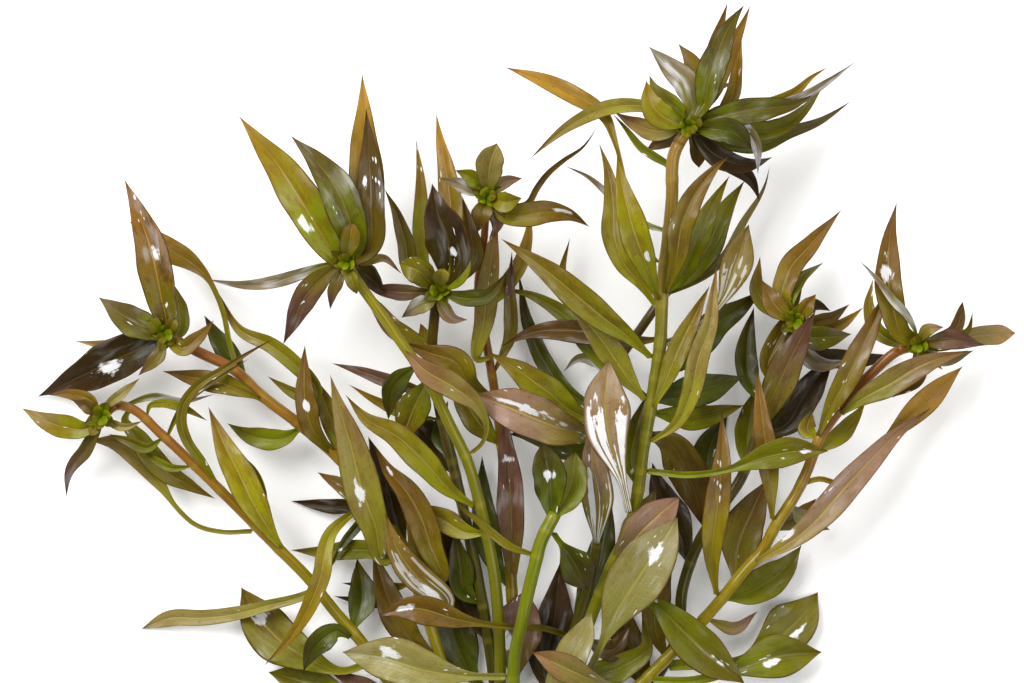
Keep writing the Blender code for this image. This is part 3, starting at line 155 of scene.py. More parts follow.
class Outline(Enum):
    """The outlines that the leaves have."""

    LANCE = Form(stalk=0.03, widest=0.45, neck=0.22, flare=1.2, taper=1.8)
    SPOON = Form(stalk=0.14, widest=0.64, neck=0.16, flare=1.8, taper=2.2)
    STALKED = Form(stalk=0.42, widest=0.74, neck=0.22, flare=1.8, taper=1.9)
    SESSILE = Form(stalk=0.0, widest=0.42, neck=0.55, flare=1.2, taper=1.7)
    SPATULA = Form(stalk=0.0, widest=0.80, neck=0.55, flare=1.5, taper=2.0)
    OVAL = Form(stalk=0.02, widest=0.50, neck=0.30, flare=1.2, taper=3.2)
    STRAP = Form(stalk=0.0, widest=0.35, neck=0.45, flare=1.4, taper=2.0)
    PADDLE = Form(stalk=0.30, widest=0.64, neck=0.14, flare=1.8, taper=2.8)


LANCE, SPOON, STALKED, SESSILE, SPATULA, OVAL, STRAP, PADDLE = Outline


@dataclass(frozen=True)
class LeafFinish:
    """Colours of a leaf as seen, from its base to its tip, how marked it is, and how much painted light it
    has.

    After the share of blotches come the share of the leaf under a film of water, which makes the coat
    glossier and greys the colour by a painted sheen; the share with small specks of painted white light; the
    strength of painted white highlights streaked along the veins; and the strength of the side veins.
    """

    name: str
    base: Colour
    middle: Colour
    tip: Colour
    rib: Colour
    blotch: Colour
    edge: Colour
    blotches: float = 0.5
    film: float = 0.05
    glints: float = 0.3
    glint_stripes: float = 0.0
    veins: float = 0.4


@dataclass(frozen=True)
class StemFinish:
    """Colours of a stem as seen, from its top to its foot, and the share of its length at which they turn."""

    name: str
    top: Colour
    foot: Colour
    streak: Colour
    turn: float = 0.3


OLIVE = LeafFinish(
    name="olive_leaf_skin", base=(0.55, 0.57, 0.03), middle=(0.50, 0.46, 0.09), tip=(0.50, 0.41, 0.14),
    rib=(0.66, 0.63, 0.28), blotch=(0.38, 0.33, 0.08), edge=(0.34, 0.25, 0.09))
GREY_OLIVE = LeafFinish(
    name="grey_olive_leaf_skin", base=(0.44, 0.49, 0.02), middle=(0.37, 0.34, 0.11), tip=(0.42, 0.35, 0.19),
    rib=(0.52, 0.49, 0.20), blotch=(0.28, 0.23, 0.08), edge=(0.28, 0.19, 0.08), film=0.14)
GOLDEN = LeafFinish(
    name="golden_leaf_skin", base=(0.57, 0.59, 0.03), middle=(0.57, 0.53, 0.05), tip=(0.57, 0.46, 0.13),
    rib=(0.72, 0.69, 0.36), blotch=(0.45, 0.38, 0.06), edge=(0.42, 0.31, 0.09))
GREEN = LeafFinish(
    name="green_leaf_skin", base=(0.51, 0.57, 0.0), middle=(0.46, 0.48, 0.01), tip=(0.46, 0.43, 0.06),
    rib=(0.56, 0.57, 0.14), blotch=(0.34, 0.34, 0.02), edge=(0.44, 0.34, 0.05), glints=0.4)
# Dark green leaves; given also to leaves deep in the bunch, whose darkness there is partly painted shade.
DARK_GREEN = LeafFinish(
    name="dark_green_leaf_skin", base=(0.39, 0.45, 0.0), middle=(0.30, 0.33, 0.01), tip=(0.32, 0.29, 0.06),
    rib=(0.40, 0.41, 0.08), blotch=(0.18, 0.18, 0.02), edge=(0.24, 0.18, 0.05), film=0.07, glints=0.5)
BRIGHT = LeafFinish(
    name="bright_leaf_skin", base=(0.55, 0.54, 0.06), middle=(0.50, 0.48, 0.04), tip=(0.50, 0.45, 0.08),
    rib=(0.64, 0.63, 0.20), blotch=(0.40, 0.38, 0.02), edge=(0.40, 0.34, 0.05))
PALE = LeafFinish(
    name="pale_leaf_skin", base=(0.60, 0.60, 0.24), middle=(0.61, 0.58, 0.38), tip=(0.62, 0.57, 0.40),
    rib=(0.76, 0.74, 0.42), blotch=(0.50, 0.46, 0.18), edge=(0.45, 0.36, 0.16), veins=0.7)
MOTTLED = LeafFinish(
    name="mottled_leaf_skin", base=(0.57, 0.58, 0.32), middle=(0.62, 0.61, 0.46), tip=(0.62, 0.60, 0.49),
    rib=(0.66, 0.66, 0.36), blotch=(0.52, 0.50, 0.20), edge=(0.48, 0.40, 0.20), film=0.16, veins=0.9)
TAN = LeafFinish(
    name="tan_leaf_skin", base=(0.56, 0.57, 0.16), middle=(0.57, 0.53, 0.31), tip=(0.58, 0.45, 0.34),
    rib=(0.72, 0.68, 0.34), blotch=(0.48, 0.40, 0.18), edge=(0.42, 0.30, 0.14))
BRONZE = LeafFinish(
    name="bronze_leaf_skin", base=(0.52, 0.49, 0.06), middle=(0.50, 0.39, 0.13), tip=(0.51, 0.37, 0.18),
    rib=(0.64, 0.58, 0.24), blotch=(0.39, 0.31, 0.09), edge=(0.36, 0.24, 0.09))
PINK = LeafFinish(
    name="pink_leaf_skin", base=(0.62, 0.58, 0.24), middle=(0.61, 0.51, 0.50), tip=(0.63, 0.50, 0.46),
    rib=(0.74, 0.69, 0.38), blotch=(0.52, 0.41, 0.22), edge=(0.42, 0.29, 0.16), film=0.16)
# Pinkish leaf with strong painted white highlights streaked along its veins.
GLINT_STRIPED = LeafFinish(
    name="striped_leaf_skin", base=(0.60, 0.58, 0.22), middle=(0.62, 0.54, 0.49), tip=(0.62, 0.54, 0.48),
    rib=(0.68, 0.64, 0.26), blotch=(0.52, 0.42, 0.20), edge=(0.40, 0.28, 0.14), glint_stripes=1.0)
# Brownish leaf with fainter painted white highlights streaked along its veins.
GLINT_STREAKED = LeafFinish(
    name="streaked_leaf_skin", base=(0.56, 0.53, 0.16), middle=(0.52, 0.45, 0.20), tip=(0.54, 0.45, 0.22),
    rib=(0.66, 0.62, 0.30), blotch=(0.42, 0.35, 0.12), edge=(0.38, 0.27, 0.11), glint_stripes=0.45)
AMBER = LeafFinish(
    name="amber_leaf_skin", base=(0.52, 0.56, 0.02), middle=(0.55, 0.47, 0.06), tip=(0.74, 0.58, 0.24),
    rib=(0.70, 0.62, 0.22), blotch=(0.46, 0.36, 0.05), edge=(0.46, 0.32, 0.08))
HONEY = LeafFinish(
    name="honey_leaf_skin", base=(0.60, 0.55, 0.20), middle=(0.68, 0.55, 0.22), tip=(0.80, 0.64, 0.32),
    rib=(0.78, 0.68, 0.34), blotch=(0.58, 0.44, 0.16), edge=(0.54, 0.38, 0.12), blotches=0.3, glints=0.1)
RUSTY = LeafFinish(
    name="rusty_leaf_skin", base=(0.46, 0.44, 0.06), middle=(0.53, 0.40, 0.12), tip=(0.58, 0.41, 0.16),
    rib=(0.70, 0.58, 0.20), blotch=(0.34, 0.24, 0.06), edge=(0.38, 0.24, 0.08),
    blotches=0.8, film=0.2, glints=0.7)
BROWN = LeafFinish(
    name="brown_leaf_skin", base=(0.42, 0.37, 0.08), middle=(0.36, 0.28, 0.09), tip=(0.38, 0.28, 0.13),
    rib=(0.48, 0.40, 0.16), blotch=(0.26, 0.20, 0.05), edge=(0.28, 0.18, 0.07), film=0.09)
# Dark leaves; given also to leaves deep in the bunch, whose darkness there is partly painted shade.
DARK = LeafFinish(
    name="dark_leaf_skin", base=(0.28, 0.25, 0.04), middle=(0.22, 0.17, 0.06), tip=(0.28, 0.20, 0.10),
    rib=(0.36, 0.29, 0.10), blotch=(0.14, 0.11, 0.03), edge=(0.40, 0.26, 0.10), film=0.16)
PURPLE = LeafFinish(
    name="purple_leaf_skin", base=(0.46, 0.43, 0.14), middle=(0.44, 0.33, 0.31), tip=(0.43, 0.30, 0.30),
    rib=(0.54, 0.47, 0.26), blotch=(0.32, 0.23, 0.12), edge=(0.32, 0.20, 0.11), film=0.2)
# Leaf mostly under a film of water, whose silvery grey is painted sheen.
SILVER_SHEEN = LeafFinish(
    name="filmed_leaf_skin", base=(0.52, 0.54, 0.14), middle=(0.56, 0.52, 0.46), tip=(0.48, 0.43, 0.34),
    rib=(0.62, 0.59, 0.44), blotch=(0.38, 0.33, 0.20), edge=(0.36, 0.28, 0.18), film=0.75)
YOUNG = LeafFinish(
    name="young_leaf_skin", base=(0.46, 0.62, 0.0), middle=(0.56, 0.62, 0.02), tip=(0.48, 0.42, 0.10),
    rib=(0.62, 0.61, 0.20), blotch=(0.40, 0.37, 0.03), edge=(0.42, 0.34, 0.08))

ORANGE_STEM = StemFinish("orange_stem_skin", top=(0.64, 0.42, 0.16), foot=(0.60, 0.58, 0.04),
                         streak=(0.50, 0.30, 0.10))
GREEN_STEM = StemFinish("green_stem_skin", top=(0.62, 0.60, 0.12), foot=(0.48, 0.50, 0.0),
                        streak=(0.38, 0.40, 0.0))
TAN_STEM = StemFinish("tan_stem_skin", top=(0.68, 0.54, 0.28), foot=(0.47, 0.49, 0.0),
                      streak=(0.40, 0.39, 0.01), turn=0.16)
BRIGHT_STEM = StemFinish("bright_stem_skin", top=(0.50, 0.56, 0.0), foot=(0.47, 0.54, 0.0),
                         streak=(0.38, 0.43, 0.01))
RED_STEM = StemFinish("reddish_stem_skin", top=(0.60, 0.36, 0.18), foot=(0.50, 0.46, 0.04),
                      streak=(0.38, 0.20, 0.08))
DARK_STEM = StemFinish("dark_stem_skin", top=(0.36, 0.30, 0.06), foot=(0.34, 0.34, 0.04),
                       streak=(0.24, 0.20, 0.03))


@dataclass(frozen=True)
class Leaf:
    """One leaf: plan from base to tip, full width, heights at its middle and tip, finish and outline.

    Where a painted patch of light, a painted highlight, lies on it is given by the share of the length, the
    share of the half width from -1 to 1, and the patch's length and width as shares of the leaf's.
    """

    plan: tuple[tuple[float, float], ...]
    width: float
    mid: float
    tip: float
    finish: LeafFinish
    outline: Outline = LANCE
    light_patch: tuple[float, ...] = ()


@dataclass(frozen=True)
class Stem:
    """One stem from its top down to its cut end, with the leaves that it carries."""

    name: str
    route: tuple[tuple[float, float, float], ...]
    top_radius: float
    foot_radius: float
    finish: StemFinish
    shoot: tuple[Leaf, ...] = ()
    leaves: tuple[Leaf, ...] = ()
    small_leaves: tuple[Leaf, ...] = ()


UPPER_LEFT = Stem(
    name="upper_left",
    route=((165, 335, 14), (205, 355, 13), (230, 367, 12), (262, 396, 11), (300, 425, 10), (350, 470, 9),
           (400, 540, 8), (422, 600, 6.5), (437, 648, 5), (456, 715, 3.2), (484, 835, 0.91)),
    top_radius=0.95,
    foot_radius=1.05,
    finish=ORANGE_STEM,
    shoot=(
        Leaf(((166, 322), (161, 296), (153, 258), (141, 220), (124, 178)), 6.3, 18, 9, RUSTY, SESSILE,
             light_patch=(0.5, 0.2, 0.05, 0.2)),
        Leaf(((177, 332), (179, 310), (171, 280)), 3.4, 12, 8, OLIVE, SESSILE),
        Leaf(((147, 328), (123, 315), (98, 297)), 5.6, 16, 9, GREY_OLIVE, SESSILE),
        Leaf(((140, 342), (110, 345), (74, 341)), 2.2, 12, 6, AMBER),
        Leaf(((140, 348), (108, 363), (75, 379), (37, 397)), 7.8, 9, LYING, DARK, SESSILE,
             light_patch=(0.45, -0.2, 0.1, 0.3)),
        Leaf(((158, 330), (148, 320)), 2.8, 17, 17, GREEN, OVAL),
        Leaf(((170, 328), (176, 318)), 2.4, 18, 18, BRIGHT, OVAL),
        Leaf(((182, 348), (199, 337), (214, 320)), 3.0, 17, 15, BRONZE, SESSILE),
        Leaf(((160, 352), (138, 376)), 2.6, 16, 13, PURPLE),
    ),
    leaves=(
        Leaf(((262, 396), (220, 383), (185, 376), (162, 371)), 4.0, 13, 8, BRONZE),
        Leaf(((230, 367), (229, 340), (224, 315), (216, 293), (207, 277), (190, 262), (165, 248),
             (129, 221)), 4.4, 8, 4, AMBER, STALKED),
        Leaf(((318, 395), (297, 367), (270, 345), (240, 330), (218, 292)), 3.1, 12, 8, GOLDEN),
        Leaf(((361, 508), (345, 519), (331, 533), (325, 550), (321, 575), (311, 602), (293, 634),
             (263, 667)), 3.3, 14, 5, GOLDEN),
        Leaf(((385, 560), (375, 525), (362, 490), (352, 450), (340, 410), (330, 374)), 6.8, 17, 18, TAN,
             light_patch=(0.42, -0.2, 0.06, 0.25)),
        Leaf(((445, 605), (415, 575), (395, 545), (385, 512)), 5.4, 16, 17, GLINT_STREAKED,
             light_patch=(0.3, -0.3, 0.16, 0.3)),
        Leaf(((440, 580), (430, 545), (420, 515), (405, 490), (388, 470), (373, 443)), 5.4, 14, 15, BRONZE,
             light_patch=(0.8, 0.1, 0.03, 0.28)),
    ),
    small_leaves=(
        Leaf(((250, 380), (222, 345), (204, 315)), 4.0, 8, 5, DARK_GREEN),
        Leaf(((300, 430), (284, 438), (262, 438), (243, 433), (227, 423)), 4.0, 7, 3.5, GREEN),
        Leaf(((337, 458), (313, 430), (305, 400), (304, 372), (305, 344)), 4.0, 14, 12, BRONZE,
             light_patch=(0.5, 0.0, 0.05, 0.3)),
        Leaf(((318, 410), (285, 388), (267, 376)), 2.5, 8, 7, OLIVE),
        Leaf(((342, 462), (337, 440), (326, 405), (313, 375)), 3.6, 10, 8, OLIVE),
        Leaf(((357, 497), (340, 485), (317, 472)), 2.9, 8, 6, BRONZE),
        Leaf(((362, 508), (350, 507), (320, 505), (291, 501)), 2.8, 6, 2.5, DARK),
        Leaf(((366, 518), (350, 535), (327, 573)), 1.8, 7, 4, DARK_GREEN, STRAP),
        Leaf(((395, 556), (365, 550), (325, 552), (290, 550)), 3.6, 5, 2, GREEN),
        Leaf(((405, 585), (370, 586), (341, 583)), 2.0, 4, 2, BROWN),
        Leaf(((410, 600), (370, 602), (333, 596)), 2.2, 3, 1, BROWN),
        Leaf(((418, 590), (427, 566), (418, 540), (405, 515)), 4.7, 12, 12, AMBER),
        Leaf(((433, 668), (412, 640), (388, 598), (372, 545)), 5.4, 6, 6, BROWN),
        Leaf(((405, 550), (396, 520), (385, 480), (368, 436)), 5.6, 9, 10, DARK),
    ),
)

LOWER_LEFT = Stem(
    name="lower_left",
    route=((101, 418, 12), (118, 405, 12), (130, 408, 11.6), (160, 433, 11), (192, 463, 10), (235, 505, 9.5),
           (275, 545, 9), (308, 578, 8.5), (339, 616, 8), (356, 635, 7.5), (400, 700, 6), (440, 765, 4.6),
           (477, 835, 3.7)),
    top_radius=0.8,
    foot_radius=1.05,
    finish=ORANGE_STEM,
    shoot=(
        Leaf(((90, 427), (60, 426), (21, 408)), 4.3, 10, LYING, AMBER),
        Leaf(((92, 402), (70, 394), (48, 395)), 2.4, 11, 6, BRONZE),
        Leaf(((95, 411), (84, 405), (72, 400)), 2.3, 14, 12, BROWN),
        Leaf(((108, 405), (120, 395), (140, 378)), 1.9, 14, 12, PALE),
        Leaf(((95, 432), (85, 450), (70, 470), (66, 498)), 2.6, 8, LYING, PURPLE, SESSILE),
        Leaf(((108, 425), (125, 427), (143, 421)), 1.6, 13, 12, PALE, STRAP),
        Leaf(((104, 412), (106, 402)), 2.0, 14, 15, GREEN, OVAL),
        Leaf(((98, 424), (90, 436)), 2.0, 14, 14, BRIGHT, OVAL),
    ),
    leaves=(
        Leaf(((283, 545), (258, 512), (237, 470), (222, 440), (208, 406)), 5.7, 13, 10, GOLDEN),
        Leaf(((255, 527), (222, 532), (196, 525), (178, 509), (160, 484), (140, 459), (115, 443), (88, 440)),
             4.0, 5, 8, TAN, STALKED),
        Leaf(((315, 590), (297, 598), (265, 606), (235, 614), (200, 618), (170, 618), (141, 629)), 3.0, 4,
             LYING, PALE, SPATULA),
        Leaf(((370, 660), (345, 671), (305, 657), (275, 636), (255, 612), (241, 587)), 8.6, 4, 3, OLIVE,
             SPOON, light_patch=(0.78, 0.1, 0.05, 0.35)),
        Leaf(((353, 634), (338, 631), (324, 638), (312, 652), (303, 672)), 4.4, 10, 5, DARK_GREEN),
    ),
    small_leaves=(
        Leaf(((125, 418), (140, 440), (164, 470), (190, 486), (216, 499)), 4.2, 7, 5, OLIVE),
        Leaf(((162, 440), (147, 448), (130, 442), (108, 434)), 2.2, 13, 12, GREEN),
        Leaf(((192, 468), (172, 468), (155, 460), (140, 447)), 1.6, 11, 9, GREEN),
        Leaf(((147, 418), (150, 406), (160, 403), (185, 409), (208, 421)), 1.8, 14, 13, OLIVE),
        Leaf(((125, 405), (150, 397), (185, 401), (215, 394)), 1.4, 10, 9, SILVER_SHEEN, STRAP),
        Leaf(((168, 436), (176, 418), (190, 398), (215, 380), (250, 358)), 1.3, 14, 13, OLIVE, STRAP),
        Leaf(((222, 487), (203, 463), (187, 441), (181, 420), (184, 404), (198, 386), (222, 370), (250, 352),
             (275, 338)), 2.0, 15, 17, OLIVE, STRAP),
        Leaf(((263, 530), (263, 490), (255, 470), (240, 453)), 1.2, 12, 11, GREEN, STRAP),
        Leaf(((354, 630), (362, 598), (357, 558)), 5.2, 6, 5, DARK_GREEN),
        Leaf(((392, 700), (350, 700), (310, 684), (268, 672)), 6.4, 3, LYING, GREEN, SPOON),
        Leaf(((410, 712), (380, 695), (345, 678), (325, 668)), 3.5, 6, 4, PURPLE),
    ),
)

LEFT = Stem(
    name="left",
    route=((345, 262, 24), (360, 285, 23.5), (378, 310, 23), (398, 338, 22), (415, 362, 21), (430, 385, 20),
           (450, 425, 19), (467, 460, 17.5), (480, 505, 15.5), (487, 535, 13.7), (496, 588, 12),
           (498, 613, 11), (500, 700, 8), (491, 835, 3.7)),
    top_radius=0.9,
    foot_radius=1.05,
    finish=GREEN_STEM,
    shoot=(
        Leaf(((335, 253), (318, 228), (297, 194), (273, 158), (255, 136), (238, 115)), 7.1, 26, 15, AMBER,
             SESSILE, light_patch=(0.28, -0.5, 0.05, 0.25)),
        Leaf(((336, 252), (318, 230), (303, 205), (291, 173)), 5.0, 26, 20, OLIVE, SESSILE),
        Leaf(((353, 246), (348, 216), (335, 187), (315, 160), (290, 135)), 6.8, 30, 20, GREY_OLIVE, SESSILE),
        Leaf(((364, 245), (366, 200), (365, 150), (364, 110), (362, 72)), 6.6, 24, 12, AMBER, SESSILE),
        Leaf(((368, 248), (371, 205), (369, 155), (366, 107)), 5.2, 29, 20, BROWN, SESSILE,
             light_patch=(0.55, -0.4, 0.05, 0.2)),
        Leaf(((348, 250), (353, 222)), 3.6, 30, 31, OLIVE, OVAL),
        Leaf(((335, 268), (315, 285), (300, 305), (293, 322), (283, 345)), 4.6, 20, 12, PURPLE),
        Leaf(((340, 275), (333, 292), (330, 310)), 2.4, 25, 22, PURPLE),
        Leaf(((350, 275), (357, 294)), 2.4, 27, 26, BRIGHT, OVAL),
        Leaf(((360, 270), (372, 280), (386, 293)), 4.0, 22, 20, DARK),
        Leaf(((330, 264), (300, 274), (270, 283), (245, 285), (205, 279)), 2.4, 16, LYING, SILVER_SHEEN),
        Leaf(((365, 262), (382, 258), (402, 274)), 1.6, 26, 24, PINK),
    ),
    leaves=(
        Leaf(((478, 505), (450, 490), (425, 462), (395, 435), (365, 418), (345, 394)), 5.0, 23, 22, OLIVE),
        Leaf(((468, 455), (480, 446), (487, 430), (478, 407), (455, 388), (425, 370), (405, 350)), 4.8, 24,
             23, TAN, SPOON),
    ),
    small_leaves=(
        Leaf(((415, 365), (395, 385), (388, 420)), 4.2, 16, 12, DARK_GREEN),
        Leaf(((425, 380), (413, 410), (400, 445)), 6.2, 14, 12, OLIVE),
        Leaf(((486, 533), (465, 532), (440, 518), (400, 507)), 4.4, 12, 11, OLIVE),
    ),
)

INNER_LEFT = Stem(
    name="inner_left",
    route=((437, 290, 20), (434, 320, 17), (432, 345, 15), (438, 400, 12), (452, 460, 10), (468, 530, 8),
           (482, 600, 5.5), (496, 700, 2.6), (498, 835, 0.91)),
    top_radius=0.9,
    foot_radius=1.05,
    finish=DARK_STEM,
    shoot=(
        Leaf(((448, 272), (448, 240), (437, 210), (432, 183)), 8.0, 27, 27, DARK, light_patch=(0.35, 0.2, 0.04, 0.2)),
        Leaf(((455, 280), (473, 260), (470, 230), (462, 195)), 3.4, 21, 20, BROWN),
        Leaf(((450, 283), (462, 262), (462, 238)), 4.0, 25, 26, GREEN),
        Leaf(((424, 268), (421, 235), (421, 190), (416, 138)), 2.9, 11, LYING, AMBER, SESSILE),
        Leaf(((450, 262), (451, 215), (446, 170), (440, 138), (436, 112)), 4.3, 14, 10, AMBER),
        Leaf(((430, 283), (420, 272), (399, 263)), 4.7, 27, 25, BRIGHT, OVAL),
        Leaf(((425, 292), (400, 292), (380, 290), (361, 283)), 3.0, 20, 16, PURPLE),
        Leaf(((430, 300), (415, 308), (401, 318)), 3.2, 21, 15, SILVER_SHEEN),
        Leaf(((448, 294), (465, 298), (485, 297), (507, 272)), 3.2, 23, 20, DARK_GREEN),
        Leaf(((442, 305), (452, 318), (468, 320)), 2.6, 17, 15, PINK),
        Leaf(((412, 272), (405, 240), (396, 212), (384, 188)), 3.3, 14, 11, OLIVE, SESSILE),
        Leaf(((440, 282), (444, 268)), 3.0, 29, 30, BRIGHT, OVAL),
    ),
    small_leaves=(
        Leaf(((440, 350), (425, 345), (395, 330), (375, 305), (358, 282)), 3.6, 14, 13, BRONZE),
        Leaf(((436, 395), (400, 385), (366, 373), (331, 363)), 2.6, 12, 9, PURPLE),
        Leaf(((441, 420), (400, 412), (378, 402), (348, 384)), 2.0, 10, 8, AMBER),
        Leaf(((483, 605), (464, 590), (460, 565), (455, 530)), 5.0, 7, 8, DARK_GREEN),
        Leaf(((431, 350), (427, 340), (420, 323)), 2.2, 14, 13, AMBER),
        Leaf(((452, 460), (440, 440), (448, 400)), 3.0, 8, 7, DARK_GREEN),
        Leaf(((456, 475), (438, 450), (418, 425), (398, 404)), 6.2, 7, 8, DARK),
        Leaf(((488, 640), (464, 605), (448, 560), (436, 505)), 7.4, 3, 3, DARK),
        Leaf(((496, 700), (472, 675), (455, 640), (446, 600)), 8.0, 1.6, 2, DARK_GREEN, SPOON),
    ),
)

MIDDLE_STEM = Stem(
    name="middle",
    route=((487, 195, 21), (484, 240, 18), (478, 290, 14), (486, 340, 11), (496, 400, 9), (503, 460, 8),
           (508, 530, 6.5), (512, 600, 4.5), (514, 700, 2.2), (512, 835, 0.91)),
    top_radius=0.6,
    foot_radius=1.05,
    finish=RED_STEM,
    shoot=(
        Leaf(((488, 180), (490, 165), (497, 143)), 5.0, 27, 29, PALE, OVAL),
        Leaf(((478, 183), (470, 177), (455, 170)), 3.0, 24, 23, GREEN),
        Leaf(((495, 199), (505, 202), (522, 198)), 4.0, 25, 23, BRIGHT),
        Leaf(((497, 190), (508, 181), (523, 178)), 2.4, 23, 21, PINK),
        Leaf(((484, 205), (481, 218), (478, 232)), 3.8, 23, 19, BROWN),
        Leaf(((494, 207), (497, 222), (494, 238)), 3.0, 20, 16, PURPLE),
        Leaf(((503, 214), (522, 216), (545, 212), (568, 214), (590, 227)), 4.5, 21, 15, BRONZE,
             light_patch=(0.72, -0.3, 0.1, 0.3)),
        Leaf(((478, 196), (463, 186), (440, 178)), 2.8, 21, 18, SILVER_SHEEN),
        Leaf(((500, 203), (528, 203), (537, 188), (547, 175), (563, 161), (583, 147), (598, 126)), 1.2, 18,
             12, BROWN, STRAP),
    ),
    leaves=(
        Leaf(((480, 360), (484, 320), (490, 270), (497, 212)), 4.2, 15, 16, TAN),
    ),
    small_leaves=(
        Leaf(((512, 596), (512, 540), (510, 490), (506, 440), (503, 402)), 5.0, 10, 9, PURPLE,
             light_patch=(0.7, 0.0, 0.02, 0.5)),
        Leaf(((514, 700), (515, 660), (525, 590)), 9.0, 7, 7.5, PURPLE, SPOON, light_patch=(0.52, -0.4, 0.08, 0.3)),
        Leaf(((492, 375), (510, 335), (510, 290), (512, 250)), 2.6, 11, 12, PURPLE),
        Leaf(((501, 445), (485, 430), (465, 402), (450, 372)), 5.0, 11, 13, OLIVE),
        Leaf(((511, 590), (493, 560), (484, 510), (482, 455)), 4.8, 4.5, 4, DARK_GREEN),
        Leaf(((484, 310), (505, 287), (521, 262), (528, 235), (530, 206)), 3.0, 10, 9, AMBER, STRAP),
        Leaf(((495, 400), (470, 385), (455, 362), (430, 353), (402, 342)), 5.0, 16, 18, BRONZE),
    ),
)

